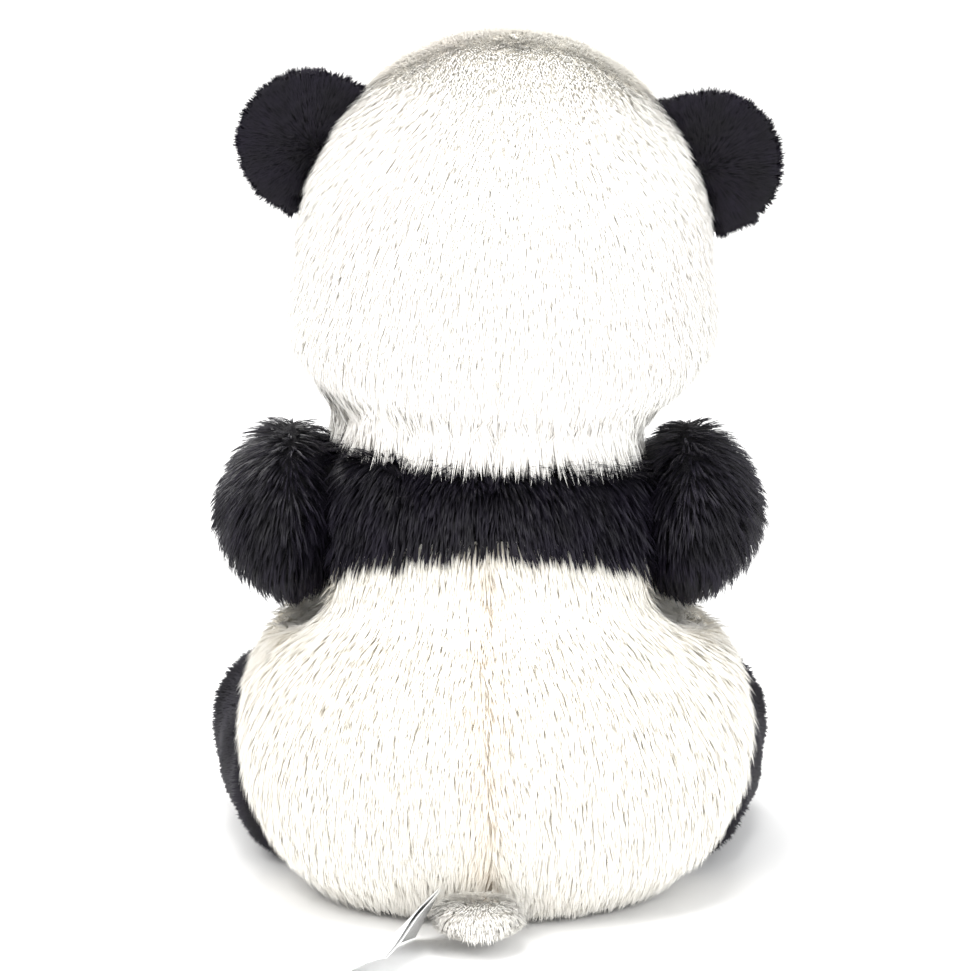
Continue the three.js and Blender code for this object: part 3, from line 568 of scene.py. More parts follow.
SHOULDER_LOW, SHOULDER_HIGH, NECK_HALF = 0.086, 0.126, 0.020
SHOULDER_REACH, SHOULDER_VOXEL, FILLING_ROUNDS = 0.028, 5.5, 600
upper_parts = [skins[name].data for name in ("torso_skin", "arm_left_skin", "arm_right_skin")]
shoulders = lumpy_skin("shoulder_shape", upper_parts, SHOULDER_VOXEL * MM, 2, 0.0)
fill_creases(shoulders.data, FILLING_ROUNDS)
shoulder_shell = shell_of(shoulders.data)
bpy.data.objects.remove(shoulders)
places = corners_of(skins["torso_skin"].data)
beside_neck = faded(np.abs(places[:, 0]), NECK_HALF, NECK_HALF + 0.014)
near = faded(places[:, 2], SHOULDER_LOW, SHOULDER_HIGH) * beside_neck
lift_onto(skins["torso_skin"], shoulder_shell, near, SHOULDER_REACH)

# %% [markdown]
# ### Places that sewing and wear have changed
# Pressure alone leaves every skin evenly round. On the real toy the head is widest low down, the ears' roots
# are caught in a seam, the elbows are tucked up, the tail is short and flat and the thighs are pushed out
# by the hips. Each is one small move of the corners, faded in over a distance so that no edge shows.

# %% Jowls and ear roots
JOWL_OUT, JOWL_HEIGHT, JOWL_SPREAD = 0.0048, 0.190, 0.018
places = corners_of(skins["head_skin"].data)
sideways = places[:, 0] - joints["head_nod"]["pos_m"][0]
jowl = np.exp(-(((places[:, 2] - JOWL_HEIGHT) / JOWL_SPREAD) ** 2)) * faded(np.abs(sideways), 0.02, 0.05)
places[:, 0] += JOWL_OUT * np.sign(sideways) * jowl
set_corners(skins["head_skin"].data, places)
EAR_ROOT_DRAW = 0.008
head_middle = np.array((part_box("head_filling")[0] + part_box("head_filling")[1]) / 2)
for side in ("left", "right"):
    places = corners_of(skins[f"ear_{side}_skin"].data)
    root = np.array(joints[f"ear_{side}_flex"]["pos_m"])
    inward = (head_middle - root) / np.linalg.norm(head_middle - root)
    inward[1] = 0.0
    drawn = faded((places - root) @ inward, -0.009, 0.001)
    set_corners(skins[f"ear_{side}_skin"].data, places + inward * (EAR_ROOT_DRAW * drawn)[:, None])

# %% Elbows, thighs, tail and hip sides
ELBOW_LIFT, ELBOW_TOP = 0.007, 0.125
for side in ("left", "right"):
    places = corners_of(skins[f"arm_{side}_skin"].data)
    elbow = faded(ELBOW_TOP - places[:, 2], 0.0, 0.035) * faded(places[:, 1], -0.035, 0.0)
    places[:, 2] += ELBOW_LIFT * elbow
    set_corners(skins[f"arm_{side}_skin"].data, places)
THIGH_OUT = {"left": 0.007, "right": -0.008}
for side, shift in THIGH_OUT.items():
    places = corners_of(skins[f"leg_{side}_skin"].data)
    places[:, 0] += shift * faded(places[:, 1], -0.105, -0.065)
    set_corners(skins[f"leg_{side}_skin"].data, places)
TAIL_FLAT, TAIL_SHORT = 0.72, 0.84
places = corners_of(skins["tail_skin"].data)
tail_root = np.array(joints["tail_lift"]["pos_m"])
places[:, 1] = tail_root[1] + (places[:, 1] - tail_root[1]) * TAIL_SHORT
places[:, 2] = tail_root[2] + (places[:, 2] - tail_root[2]) * TAIL_FLAT
set_corners(skins["tail_skin"].data, places)
places = corners_of(skins["torso_skin"].data)
HIP_SLIM_LEFT, HIP_FULL_RIGHT = 0.040, 0.005
hip_side = faded(np.abs(places[:, 0]), 0.045, 0.09) * faded(-places[:, 2], -0.105, -0.080)
places[:, 0] *= np.where(places[:, 0] > 0, 1 - HIP_SLIM_LEFT * hip_side, 1 + HIP_FULL_RIGHT * hip_side)
set_corners(skins["torso_skin"].data, places)

# %% [markdown]
# ### Seams pressed into the skins
# Sewing pulls fabric in along a seam. These grooves are too fine for the remesh, so they are pressed in
# afterwards by moving corners along their normals: one down the middle of the back and one over the head.


# %% Pressed seams
def press(skin, distance_to_seam, width, depth):
    """Moves corners inwards near a seam; distance_to_seam is how far each corner is from it."""
    mesh = skin.data
    sunk = depth * np.exp(-((distance_to_seam / width) ** 2))
    set_corners(mesh, corners_of(mesh) - normals_of(mesh) * sunk[:, None])


ON_FLOOR = 0.0006
HEAD_GROOVE, BACK_GROOVE = (0.0022, 0.0011), (0.0030, 0.0014)
head_pivot = Vector(joints["head_nod"]["pos_m"])
head_side = Vector(joints["head_nod"]["axis"]).normalized()
head_up = Vector(joints["neck_turn"]["axis"]).normalized()
head_xyz = corners_of(skins["head_skin"].data)
head_across = (head_xyz - np.array(head_pivot)) @ np.array(head_side)
press(skins["head_skin"], np.where(head_xyz[:, 1] > head_pivot.y, np.abs(head_across), 1.0), *HEAD_GROOVE)
torso_xyz = corners_of(skins["torso_skin"].data)
press(skins["torso_skin"], np.where(torso_xyz[:, 1] > 0, np.abs(torso_xyz[:, 0]), 1.0), *BACK_GROOVE)
for skin in skins.values():
    places = corners_of(skin.data)
    places[:, 2] = np.maximum(places[:, 2], ON_FLOOR)
    set_corners(skin.data, places)

# %% [markdown]
# ### Black above, cream below
# The torso was stuffed as one, as on the real toy, where yoke and body are sewn together first. It is now
# parted along the arched seam into a black yoke and a cream body. The soles are parted from the legs too.

# %% Parting a skin
FRINGE_HANG = 0.005
SEAM_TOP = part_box("back_panel_left")[1].z + FRINGE_HANG
SEAM_FALL, SEAM_HALF_WIDTH = 0.027, 0.080


def above_seam(places):
    """Height over the arched yoke seam, in metres."""
    share = np.minimum(np.abs(places[:, 0]) / SEAM_HALF_WIDTH, 1)
    return places[:, 2] - (SEAM_TOP - SEAM_FALL * share**2)


def part_off(skin, name, taken):
    """Moves the faces whose corners' mean of taken is over zero into a new object."""
    bm = bmesh.new()
    bm.from_mesh(skin.data)
    bm.faces.ensure_lookup_table()
    chosen = [f for f in bm.faces if sum(taken[v.index] for v in f.verts) > 0]
    rest_index = {f.index for f in bm.faces} - {f.index for f in chosen}
    other = bm.copy()
    other.faces.ensure_lookup_table()
    bmesh.ops.delete(other, geom=[other.faces[i] for i in sorted(rest_index)], context="FACES")
    bmesh.ops.delete(bm, geom=chosen, context="FACES")
    mesh = bpy.data.meshes.new(name)
    other.to_mesh(mesh)
    bm.to_mesh(skin.data)
    bm.free()
    other.free()
    return new_object(name, mesh)


shells, shell_boxes = {}, {}
for name, skin in skins.items():
    places = corners_of(skin.data)
    shells[name] = shell_of(skin.data)
    shell_boxes[name] = (places.min(axis=0), places.max(axis=0))
over_seam = above_seam(corners_of(skins["torso_skin"].data))
skins["yoke_skin"] = part_off(skins["torso_skin"], "yoke_skin", over_seam)
for side in ("left", "right"):
    leg = skins[f"leg_{side}_skin"]
    low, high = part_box(f"sole_{side}")
    places = corners_of(leg.data)
    skins[f"sole_{side}_skin"] = part_off(leg, f"sole_{side}_skin", (high.y - 0.001) - places[:, 1])

# %% [markdown]
# ## The pile
# Pile fabric is thousands of fine strands that stand in small tufts and all lean one way. Hair curves
# would vanish from an exported model, so each strand is a thin tapered ribbon. One tuft is a few ribbons
# that rise together and bend over; Geometry Nodes scatter turned and scaled copies of four such tufts over
# a skin. Three attributes steer them: `comb` is the way the pile lies, `rise` the way it stands up and
# `share` how thick it grows.


# %% One tuft
def tuft(name, rng, strands, spread, length, width, segments, lift, flat, twist=25):
    """Ribbons that rise along +Z and bend over towards +Y. lift and flat are angles in degrees."""
    corners, faces, along = [], [], []
    for _ in range(strands):
        root = rng.uniform(-spread, spread, 2)
        reach = length * rng.uniform(0.75, 1.1)
        turn = math.radians(rng.uniform(-twist, twist))
        lean = math.radians(rng.uniform(-9, 9))
        point = np.array([root[0], root[1], -0.0006])
        start = len(corners)
        for step in range(segments + 1):
            t = step / segments
            angle = math.radians(lift + (flat - lift) * t)
            half = 0.5 * width * (1 - 0.35 * t)
            side = np.array([math.cos(turn), 0.0, math.sin(turn)]) * half
            if step == segments:
                corners.append(tuple(point))
                along.append(1.0)
            else:
                corners += [tuple(point - side), tuple(point + side)]
                along += [t, t]
                stride = reach / segments
                sideways = math.sin(lean) * math.cos(angle) - root[0] / reach * 0.6
                point = point + stride * np.array([sideways, math.cos(angle), math.sin(angle)])
        for step in range(segments - 1):
            a = start + 2 * step
            faces.append((a, a + 1, a + 3, a + 2))
        a = start + 2 * (segments - 1)
        faces.append((a, a + 1, a + 2))
    mesh = bpy.data.meshes.new(name)
    mesh.from_pydata(corners, [], faces)
    mesh.attributes.new("along", "FLOAT", "POINT").data.foreach_set("value", along)
    return new_object(name, mesh)


def tuft_set(name, seed, **shape):
    """A collection of four different tufts with the same measures."""
    rng = np.random.default_rng(seed)
    group = bpy.data.collections.new(name)
    for number in range(4):
        made = tuft(f"{name}_{number}", rng, **shape)
        bpy.context.scene.collection.objects.unlink(made)
        group.objects.link(made)
    return group


body_tufts = tuft_set(
    "body_tuft", 11, strands=5, spread=0.0012, length=0.0085, width=0.00062, segments=2, lift=30, flat=4,
    twist=9,
)
yoke_tufts = tuft_set(
    "yoke_tuft", 12, strands=5, spread=0.0011, length=0.0105, width=0.00048, segments=3, lift=40, flat=4
)
short_tufts = tuft_set(
    "short_tuft", 13, strands=5, spread=0.0011, length=0.0066, width=0.00058, segments=2, lift=30, flat=4,
    twist=9,
)
fringe_tufts = tuft_set(
    "fringe_tuft", 14, strands=5, spread=0.0012, length=0.0175, width=0.00055, segments=3, lift=24, flat=-6,
    twist=12,
)


# %% [markdown]
# ### The tree that plants the tufts
# The tree has named inputs, so that the same one serves the whole toy: which tufts, how many per square
# metre, their size, how far the combing wanders from lock to lock, the seed and the finish.

# %% Planting tree
PLANTING_INPUTS = [
    ("Skin", "NodeSocketGeometry", None),
    ("Tufts", "NodeSocketCollection", None),
    ("Tufts Per Area", "NodeSocketFloat", 300000.0),
    ("Size Low", "NodeSocketFloat", 0.75),
    ("Size High", "NodeSocketFloat", 1.15),
    ("Wander", "NodeSocketFloat", 0.35),
    ("Lock Scale", "NodeSocketFloat", 110.0),
    ("Jitter", "NodeSocketFloat", 0.35),
    ("Seed", "NodeSocketInt", 1),
    ("Finish", "NodeSocketMaterial", None),
]


def planting_tree():
    tree = bpy.data.node_groups.new("plant_tufts", "GeometryNodeTree")
    for name, kind, default in PLANTING_INPUTS:
        socket = tree.interface.new_socket(name=name, in_out="INPUT", socket_type=kind)
        if default is not None:
            socket.default_value = default
    tree.interface.new_socket(name="Pile", in_out="OUTPUT", socket_type="NodeSocketGeometry")
    given = tree.nodes.new("NodeGroupInput")

    def add(kind, settings=None, **inputs):
        node = tree.nodes.new(kind)
        for key, value in (settings or {}).items():
            setattr(node, key, value)
        for key, value in inputs.items():
            socket = node.inputs[int(key[1:])] if key[1:].isdigit() else node.inputs[key.replace("_", " ")]
            if isinstance(value, bpy.types.NodeSocket):
                tree.links.new(value, socket)
            else:
                socket.default_value = value
        return node

    def stored(name, kind):
        return add("GeometryNodeInputNamedAttribute", {"data_type": kind}, Name=name).outputs["Attribute"]

    sown = add("ShaderNodeMath", {"operation": "MULTIPLY"}, _0=given.outputs["Tufts Per Area"], _1=1.5)
    area_each = add("ShaderNodeMath", {"operation": "INVERSE_SQRT"}, _0=given.outputs["Tufts Per Area"])
    apart = add("ShaderNodeMath", {"operation": "MULTIPLY"}, _0=area_each.outputs[0], _1=0.6)
    points = add(
        "GeometryNodeDistributePointsOnFaces",
        {"distribute_method": "POISSON"},
        Mesh=given.outputs["Skin"],
        Distance_Min=apart.outputs[0],
        Density_Max=sown.outputs[0],
        Density_Factor=stored("share", "FLOAT"),
        Seed=given.outputs["Seed"],
    )
    position = add("GeometryNodeInputPosition").outputs[0]

    def wobble(scale, amount):
        noise = add("ShaderNodeTexNoise", Vector=position, Scale=scale, Detail=1.0)
        middle = {"_0": noise.outputs["Color"], "_1": (0.5, 0.5, 0.5)}
        centred = add("ShaderNodeVectorMath", {"operation": "SUBTRACT"}, **middle)
        sized = add("ShaderNodeVectorMath", {"operation": "SCALE"}, _0=centred.outputs[0])
        tree.links.new(amount, sized.inputs["Scale"])
        return sized.outputs[0]

    locks = wobble(given.outputs["Lock Scale"], given.outputs["Wander"])
    hairs = wobble(2500.0, given.outputs["Jitter"])
    both = add("ShaderNodeVectorMath", {"operation": "ADD"}, _0=locks, _1=hairs)
    comb = stored("comb", "FLOAT_VECTOR")
    way = add("ShaderNodeVectorMath", {"operation": "ADD"}, _0=comb, _1=both.outputs[0])
    stand = add("FunctionNodeAlignRotationToVector", {"axis": "Z"}, Vector=stored("rise", "FLOAT_VECTOR"))
    lie = add(
        "FunctionNodeAlignRotationToVector",
        {"axis": "Y", "pivot_axis": "Z"},
        Rotation=stand.outputs[0],
        Vector=way.outputs[0],
    )
    size = add(
        "FunctionNodeRandomValue",
        {"data_type": "FLOAT"},
        _2=given.outputs["Size Low"],
        _3=given.outputs["Size High"],
        Seed=given.outputs["Seed"],
    )
    choice = add("GeometryNodeCollectionInfo", Collection=given.outputs["Tufts"])
    choice.inputs["Separate Children"].default_value = True
    choice.inputs["Reset Children"].default_value = True
    planted = add(
        "GeometryNodeInstanceOnPoints",
        Points=points.outputs["Points"],
        Instance=choice.outputs[0],
        Pick_Instance=True,
        Rotation=lie.outputs[0],
        Scale=size.outputs[1],
    )
    real = add("GeometryNodeRealizeInstances", Geometry=planted.outputs[0])
    done = add("GeometryNodeSetMaterial", Geometry=real.outputs[0], Material=given.outputs["Finish"])
    result = tree.nodes.new("NodeGroupOutput")
    tree.links.new(done.outputs[0], result.inputs["Pile"])
    return tree


plant_tufts = planting_tree()


# %% Growing one patch of pile
def unit(vectors):
    return vectors / np.maximum(np.linalg.norm(vectors, axis=1, keepdims=True), 1e-9)


def write_field(mesh, name, kind, values):
    field = mesh.attributes.get(name) or mesh.attributes.new(name, kind, "POINT")
    field.data.foreach_set("vector" if kind == "FLOAT_VECTOR" else "value", values.astype(np.float32).ravel())


piles = {}


def grow(name, skin_mesh, share, comb, rise, tufts, per_mm2, finish, seed, **sizes):
    """Plants pile on skin_mesh as a new object in piles, flattened where it meets the floor."""
    ground = new_object(name, skin_mesh.copy())
    write_field(ground.data, "share", "FLOAT", share)
    write_field(ground.data, "comb", "FLOAT_VECTOR", unit(comb))
    write_field(ground.data, "rise", "FLOAT_VECTOR", unit(rise))
    planting = ground.modifiers.new("plant_tufts", "NODES")
    planting.node_group = plant_tufts
    wanted = {"Tufts": tufts, "Tufts Per Area": per_mm2 * 1e6, "Seed": seed, "Finish": finish}
    wanted |= {key.replace("_", " "): value for key, value in sizes.items()}
    for item in plant_tufts.interface.items_tree:
        if item.name in wanted and item.in_out == "INPUT":
            planting[item.identifier] = wanted[item.name]
    pile = settled(ground)
    places = corners_of(pile.data)
    places[:, 2] = np.maximum(places[:, 2], ON_FLOOR * 0.5)
    set_corners(pile.data, places)
    triangles = sum(len(p.vertices) - 2 for p in pile.data.polygons)
    print(name, triangles, "triangles")
    piles[name] = pile


# %% [markdown]
# ### Where no pile grows
# Pile hidden inside a neighbour is wasted and could poke through it. From a point just above the skin a
# ray is sent out: if it crosses a neighbour's closed skin an odd number of times, the point lies inside
# that neighbour and nothing is planted there.


# %% Hidden places
PROBE = Vector((0.31, 0.17, 0.93)).normalized()


def inside(shell, point):
    crossings, start = 0, Vector(point)
    while crossings < 30:
        at, _, _, _ = shell.ray_cast(start, PROBE)
        if at is None:
            break
        crossings += 1
        start = at + PROBE * 0.00001
    return crossings % 2 == 1


def open_share(mesh, neighbours, height=0.0025):
    """1 where the skin is open to the air and 0 where it lies inside one of the neighbours."""
    places = corners_of(mesh) + normals_of(mesh) * height
    share = np.ones(len(places))
    for neighbour in neighbours:
        low, high = shell_boxes[neighbour]
        near = np.all((places > low) & (places < high), axis=1)
        for i in np.nonzero(near & (share > 0))[0]:
            if inside(shells[neighbour], places[i]):
                share[i] = 0.0
    return share


def skin_fields(name, neighbours, height=0.0025):
    """A skin's mesh, its corners, its normals and where it is open to the air."""
    mesh = skins[name].data
    return mesh, corners_of(mesh), normals_of(mesh), open_share(mesh, neighbours, height)


def distance_to(shell, places, limit):
    """How far each place is from the shell, at most limit."""
    found = np.full(len(places), limit)
    for i, place in enumerate(places):
        at, _, _, distance = shell.find_nearest(Vector(place), limit)
        if at is not None:
            found[i] = distance
    return found


DOWN = np.array([0.0, 0.0, -1.0])

# %% [markdown]
# ### Head pile
# The head's pile is short and dense, brushed back over the crown and then down. Round the neck longer
# strands hang free over the black yoke: they are planted in a narrow band just above the yoke.

# %% Head pile
over_head = ["torso_skin", "muzzle_skin", "eye_patch_left_skin", "eye_patch_right_skin"]
head_mesh, head_xyz, head_normal, head_clear = skin_fields("head_skin", over_head, 0.0012)
head_local = head_xyz - np.array(head_pivot)
height_on_head = head_local @ np.array(head_up)
head_out = unit(head_local - height_on_head[:, None] * np.array(head_up))
crown = faded(head_normal @ np.array(head_up), 0.55, 0.95)[:, None]
head_comb = (1 - crown) * (-np.array(head_up) + head_out * 0.12) + crown * np.array([0.0, 1.0, -0.2])
head_rise = unit(head_normal)
head_open = head_clear * faded(head_normal[:, 2], -0.93, -0.80)
print("head pile on", round(100 * float(head_open.mean())), "% of the head")
turn = np.degrees(np.arctan2(head_local[:, 0], head_local[:, 1]))
HEAD_PATCHES = {
    "head_pile_back_left": (0, 90),
    "head_pile_back_right": (-90, 0),
    "head_pile_front_left": (90, 180),
    "head_pile_front_right": (-180, -90),
}
for number, (name, (first, last)) in enumerate(HEAD_PATCHES.items()):
    mask = ((turn >= first) & (turn < last)).astype(float)
    grow(
        name, head_mesh, head_open * mask, head_comb, head_rise, short_tufts, 0.46, head_pile, 21 + number,
        Wander=0.25, Jitter=0.35, Lock_Scale=90.0,
    )

# %% The fringe round the neck
FRINGE_BAND, FRINGE_INNER = 0.029, 0.032
head_to_torso = distance_to(shells["torso_skin"], head_xyz, 0.03)
head_radius = np.linalg.norm(head_local - height_on_head[:, None] * np.array(head_up), axis=1)
fringe_share = head_clear * faded(-head_to_torso, -FRINGE_BAND, -0.6 * FRINGE_BAND)
fringe_share *= faded(head_radius, FRINGE_INNER, FRINGE_INNER + 0.006)
print("fringe on", int((fringe_share > 0).sum()), "corners")
free = faded(head_to_torso, 0.008, 0.026)[:, None]
fringe_comb = head_out * (0.70 - 0.45 * free) + DOWN * 0.85
fringe_rise = (1 - free) * (head_out * 0.80 - DOWN * 0.62) + free * head_normal
grow(
    "head_fringe", head_mesh, fringe_share, fringe_comb, fringe_rise, fringe_tufts, 0.60, head_pile, 28,
    Wander=0.9, Jitter=0.45, Lock_Scale=150.0, Size_Low=0.55, Size_High=1.1,
)

# %% [markdown]
# ### Yoke and body pile
# The yoke's strands are the longest and are brushed straight down, ending in a fringe over the cream body.
# On the body they part at the seam down the middle of the back, where the backing shows.

# %% Torso pile
limbs_and_head = ["head_skin", "arm_left_skin", "arm_right_skin", "leg_left_skin", "leg_right_skin"]


def torso_fields(mesh):
    places, normal = corners_of(mesh), normals_of(mesh)
    behind = faded(places[:, 1], 0.0, 0.03)
    near_seam = np.exp(-((places[:, 0] / 0.009) ** 2)) * behind
    comb = np.tile(DOWN, (len(places), 1))
    comb[:, 0] += np.sign(places[:, 0]) * near_seam * 0.25
    comb[:, :2] += normal[:, :2] * 0.3
    bare = 1 - 0.5 * np.exp(-((places[:, 0] / 0.0014) ** 2)) * behind
    return places, normal, comb, bare


yoke_mesh = skins["yoke_skin"].data
yoke_xyz, yoke_normal, yoke_comb, _ = torso_fields(yoke_mesh)
yoke_open = open_share(yoke_mesh, limbs_and_head)
for number, (name, mask) in enumerate(
    {"yoke_pile_back": yoke_xyz[:, 1] >= 0, "yoke_pile_front": yoke_xyz[:, 1] < 0}.items()
):
    grow(
        name, yoke_mesh, yoke_open * mask, yoke_comb, yoke_normal, yoke_tufts, 0.42, black_pile, 31 + number,
        Wander=0.3, Jitter=0.3, Lock_Scale=120.0,
    )

hip_mesh = skins["torso_skin"].data
hip_xyz, hip_normal, hip_comb, hip_bare = torso_fields(hip_mesh)
hip_open = open_share(hip_mesh, limbs_and_head, 0.0003) * faded(hip_xyz[:, 2], 0.001, 0.004)
HIP_PATCHES = {
    "hip_pile_back_left": (hip_xyz[:, 1] >= 0) & (hip_xyz[:, 0] >= 0),
    "hip_pile_back_right": (hip_xyz[:, 1] >= 0) & (hip_xyz[:, 0] < 0),
    "hip_pile_front_left": (hip_xyz[:, 1] < 0) & (hip_xyz[:, 0] >= 0),
    "hip_pile_front_right": (hip_xyz[:, 1] < 0) & (hip_xyz[:, 0] < 0),
}
for number, (name, mask) in enumerate(HIP_PATCHES.items()):
    share = hip_open * hip_bare * mask
    grow(
        name, hip_mesh, share, hip_comb, hip_normal, body_tufts, 0.40, cream_pile, 41 + number,
        Wander=0.5, Jitter=0.35, Lock_Scale=110.0,
    )

# %% [markdown]
# ### Limbs, ears and tail
# On arms and legs the pile is brushed from the trunk towards the paws and falls to the sides. On the ears
# it points out from the head, which gives them their fuzzy rim, and on the tail it points to its tip.

# %% Limb pile
for side, sign in (("left", 1.0), ("right", -1.0)):
    near_arm, arm_skin = ["torso_skin", "head_skin"], f"arm_{side}_skin"
    arm_mesh, arm_xyz, arm_normal, arm_open = skin_fields(arm_skin, near_arm)
    forward = faded(-arm_xyz[:, 1], -0.02, 0.05)[:, None]
    arm_comb = (1 - forward) * np.array([sign * 0.15, 0.0, -1.0])
    arm_comb = arm_comb + forward * np.array([-sign * 0.3, -1.0, -0.45])
    arm_comb[:, :2] += arm_normal[:, :2] * 0.5 * (1 - forward)
    below = faded(-arm_normal[:, 2], 0.25, 0.7)[:, None]
    arm_comb = arm_comb * (1 - below) + below * np.array([0.0, -0.2, -1.0])
    grow(
        f"arm_{side}_pile", arm_mesh, arm_open, arm_comb, arm_normal, yoke_tufts, 0.27, black_pile,
        51 + int(sign), Wander=0.35, Jitter=0.35, Lock_Scale=120.0,
    )
    leg_mesh, leg_xyz, leg_normal, leg_open = skin_fields(f"leg_{side}_skin", ["torso_skin"])
    leg_comb = np.tile(np.array([sign * 0.25, -0.9, -0.35]), (len(leg_xyz), 1))
    leg_open *= faded(leg_xyz[:, 2], 0.001, 0.003)
    grow(
        f"leg_{side}_pile", leg_mesh, leg_open, leg_comb, leg_normal, short_tufts, 0.38, black_pile,
        61 + int(sign), Wander=0.35, Jitter=0.4,
    )
    ear_mesh, ear_xyz, ear_normal, ear_open = skin_fields(f"ear_{side}_skin", ["head_skin"], 0.0008)
    ear_root = np.array(joints[f"ear_{side}_flex"]["pos_m"])
    grow(
        f"ear_{side}_pile", ear_mesh, ear_open, ear_xyz - ear_root, ear_normal, short_tufts, 1.0, black_pile,
        71 + int(sign), Wander=0.3, Jitter=0.5, Size_Low=0.6, Size_High=0.9,
    )

# %% Tail and muzzle pile
tail_mesh, tail_xyz, tail_normal, tail_open = skin_fields("tail_skin", ["torso_skin"])
tail_comb = tail_xyz - np.array(joints["tail_lift"]["pos_m"])
grow(
    "tail_pile", tail_mesh, tail_open, tail_comb, tail_normal, short_tufts, 1.0,
    head_pile, 81, Wander=0.3, Jitter=0.5, Size_Low=0.7, Size_High=1.0,
)
muzzle_mesh, muzzle_xyz, muzzle_normal, muzzle_open = skin_fields("muzzle_skin", ["head_skin"], 0.0005)
nose_low, nose_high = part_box("nose")
nose_middle = np.array((nose_low + nose_high) / 2)
muzzle_comb = muzzle_xyz - nose_middle
muzzle_comb[:, 1] += 0.01
grow(
    "muzzle_pile", muzzle_mesh, muzzle_open, muzzle_comb, muzzle_normal, short_tufts, 1.0, head_pile, 82,
    Wander=0.2, Jitter=0.4, Size_Low=0.4, Size_High=0.6,
)

# %% Eye patch pile
for side in ("left", "right"):
    patch_mesh = skins[f"eye_patch_{side}_skin"].data
    patch_normal = normals_of(patch_mesh)
    outer = faded((patch_normal * unit(corners_of(patch_mesh) - head_middle)).sum(axis=1), 0.2, 0.6)
    eye_low, eye_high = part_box(f"eye_{side}")
    from_eye = np.linalg.norm(corners_of(patch_mesh) - np.array((eye_low + eye_high) / 2), axis=1)
    eye_radius = 0.5 * (eye_high.z - eye_low.z)
    outer = outer * faded(from_eye, eye_radius, eye_radius + 0.002)
    grow(
        f"eye_patch_{side}_pile", patch_mesh, outer, np.tile(DOWN, (len(outer), 1)) + patch_normal * 0.05,
        patch_normal, short_tufts, 1.0, black_pile, 91 + (side == "left"),
        Wander=0.2, Jitter=0.4, Size_Low=0.45, Size_High=0.65,
    )

# %% [markdown]
# ### Care label
# A woven satin ribbon, folded in half with both ends caught in the seat seam. It leaves the seam on edge
# and turns until it lies nearly flat. A ribbon is easiest to lay out as rows of corners along its length:
# out along the upper layer, round the fold and back along the lower one. No words are woven into it.

# %% Satin ribbon
LABEL_WIDTH, LABEL_REACH = 0.020, 0.053
LABEL_GAP, LABEL_CLOTH, LABEL_SETTLED = 0.0011, 0.00022, 0.7
LABEL_TWIST_ROOT, LABEL_TWIST_END = math.radians(62), math.radians(22)
label_root = np.array(joints["label_swing"]["pos_m"])
label_corners = corners_of(frame["nodes"]["care_label"].data)
label_way = label_corners.mean(axis=0) - label_root
heading = math.atan2(label_way[0], label_way[1])


def ribbon_point(across, out, side):
    """A point of the ribbon: across its width, out from the seam, on its upper (1) or lower (-1) layer."""
    along = out / LABEL_REACH
    twist = LABEL_TWIST_ROOT + (LABEL_TWIST_END - LABEL_TWIST_ROOT) * along
    swell = 0.5 * LABEL_GAP * (0.5 + 0.8 * math.sin(math.pi * min(along, 1.0) * 0.9)) * side
    x = across * math.cos(twist) + swell * math.sin(twist)
    z = -across * math.sin(twist) + swell * math.cos(twist)
    half_high = 0.5 * LABEL_WIDTH * math.sin(twist) + LABEL_GAP
    eased = min(max(along / LABEL_SETTLED, 0), 1)
    settle = eased**2 * (3 - 2 * eased)
    z += (half_high + ON_FLOOR - label_root[2]) * settle + 0.0006 * math.sin(9 * along + across * 260) * along
    east = x * math.cos(heading) + out * math.sin(heading)
    north = out * math.cos(heading) - x * math.sin(heading)
    return (label_root[0] + east, label_root[1] + north, label_root[2] + z)


ROWS, COLUMNS = 30, 9
path = [(LABEL_REACH * k / ROWS, 1.0) for k in range(ROWS + 1)]
path += [(LABEL_REACH + 0.0005, 0.4), (LABEL_REACH + 0.0005, -0.4)]
path += [(LABEL_REACH * k / ROWS, -1.0) for k in range(ROWS, -1, -1)]
lanes = [LABEL_WIDTH * (column / (COLUMNS - 1) - 0.5) for column in range(COLUMNS)]
ribbon = [ribbon_point(across, out, side) for out, side in path for across in lanes]
quads = [
    (row * COLUMNS + c, (row + 1) * COLUMNS + c, (row + 1) * COLUMNS + c + 1, row * COLUMNS + c + 1)
    for row in range(len(path) - 1)
    for c in range(COLUMNS - 1)
]
label_mesh = bpy.data.meshes.new("satin_label")
label_mesh.from_pydata([tuple(map(float, p)) for p in ribbon], [], quads)
satin_label = new_object("satin_label", label_mesh, satin)
cloth_wall = satin_label.modifiers.new("cloth_wall", "SOLIDIFY")
cloth_wall.thickness, cloth_wall.offset = LABEL_CLOTH, 0
settled(satin_label)
satin_label.data.shade_smooth()
lowest = float(corners_of(satin_label.data)[:, 2].min())
print("label heading", round(math.degrees(heading), 1), "degrees, lowest point", round(lowest / MM, 2), "mm")

# %% [markdown]
# ## Putting it together
# Each skin takes its backing finish, rides on its body and stands for the frame's plain solids.

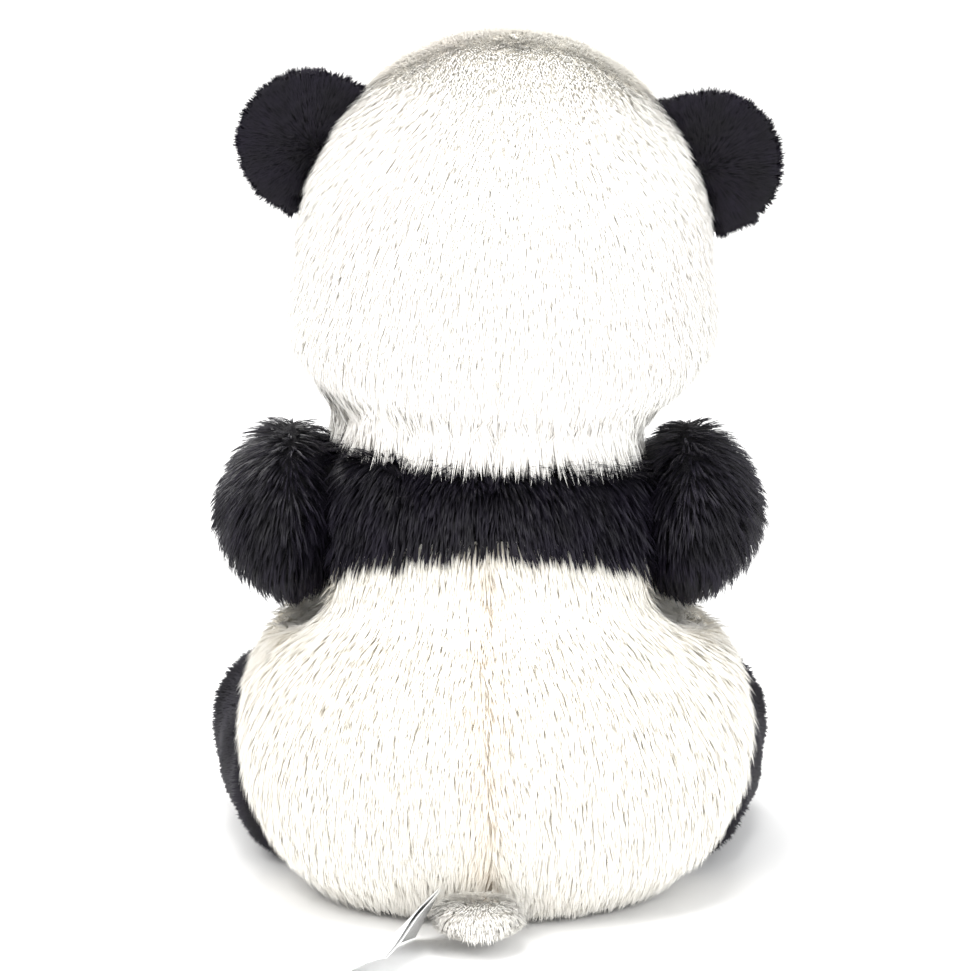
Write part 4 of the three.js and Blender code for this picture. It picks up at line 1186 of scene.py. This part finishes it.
# %% Skins ride on their bodies
for skin in skins.values():
    skin.data.materials.clear()
    skin.data.shade_smooth()
CREAM, BLACK = (cream_backing, "cream_plush"), (black_backing, "black_plush")
stands_for = {name: list(start[0]) for name, start in SKINS.items()}
stands_for["torso_skin"] = [node for node in stands_for["torso_skin"] if node not in YOKE_PANELS]
stands_for["yoke_skin"] = YOKE_PANELS
WEAR = {
    "head_skin": ("head", CREAM),
    "torso_skin": ("torso", CREAM),
    "yoke_skin": ("torso", BLACK),
    "muzzle_skin": ("head", CREAM),
    "tail_skin": ("tail", CREAM),
    "neck_core": ("neck", (fibre, "fibre_filling")),
}
for side in ("left", "right"):
    WEAR[f"eye_patch_{side}_skin"] = ("head", BLACK)
    for limb in ("ear", "arm", "leg"):
        WEAR[f"{limb}_{side}_skin"] = (f"{limb}_{side}", BLACK)
    WEAR[f"sole_{side}_skin"] = (f"leg_{side}", (velour, "black_velour"))
    stands_for[f"leg_{side}_skin"].remove(f"sole_{side}")
    stands_for[f"sole_{side}_skin"] = [f"sole_{side}"]
for name, (body, (material, slot)) in WEAR.items():
    skins[name].data.materials.append(material)
    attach(skins[name], body)
    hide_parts(*stands_for[name])

# %% Pile rides with its skin
PILE_BODY = {"head": "head", "yoke": "torso", "hip": "torso", "tail": "tail", "muzzle": "head", "eye": "head"}
BLACK_PARTS = ("yoke", "arm", "leg", "ear", "eye")
for name, pile in piles.items():
    part = name.split("_")[0]
    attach(pile, PILE_BODY.get(part) or "_".join(name.split("_")[:2]))
    "black_plush" if part in BLACK_PARTS else "cream_plush"

# %% The label
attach(satin_label, "label")
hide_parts("care_label")

# %% Smooth plastic eyes and nose
for node in ("nose", "eye_left", "eye_right"):
    plastic = lump_of(f"{node}_plastic", frame_meshes([node]))
    rounder = plastic.modifiers.new("rounder", "SUBSURF")
    rounder.levels = rounder.render_levels = 2
    settled(plastic)
    plastic.data.materials.clear()
    plastic.data.materials.append(gloss_black)
    plastic.data.shade_smooth()
    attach(plastic, "head")
    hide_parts(node)

# %% Plastic and thread on the frame's own solids
FRAME_FINISHES = {
    "nylon": (nylon, ["nose_washer", "eye_washer_left", "eye_washer_right"]),
    "dark_thread": (dark_thread, ["mouth_stitching"]),
}
for material, nodes in FRAME_FINISHES.values():
    for node in nodes:
        mesh = frame["nodes"][node].data
        mesh.materials.clear()
        mesh.materials.append(material)

# %% Finish
bpy.context.view_layer.update()
low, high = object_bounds()
sizes = {"frame": [list(cad_low), list(cad_high)], "visual": [list(low), list(high)]}
for label, box in sizes.items():
    print(label, "box in mm:", [[round(value / MM, 1) for value in corner] for corner in box])
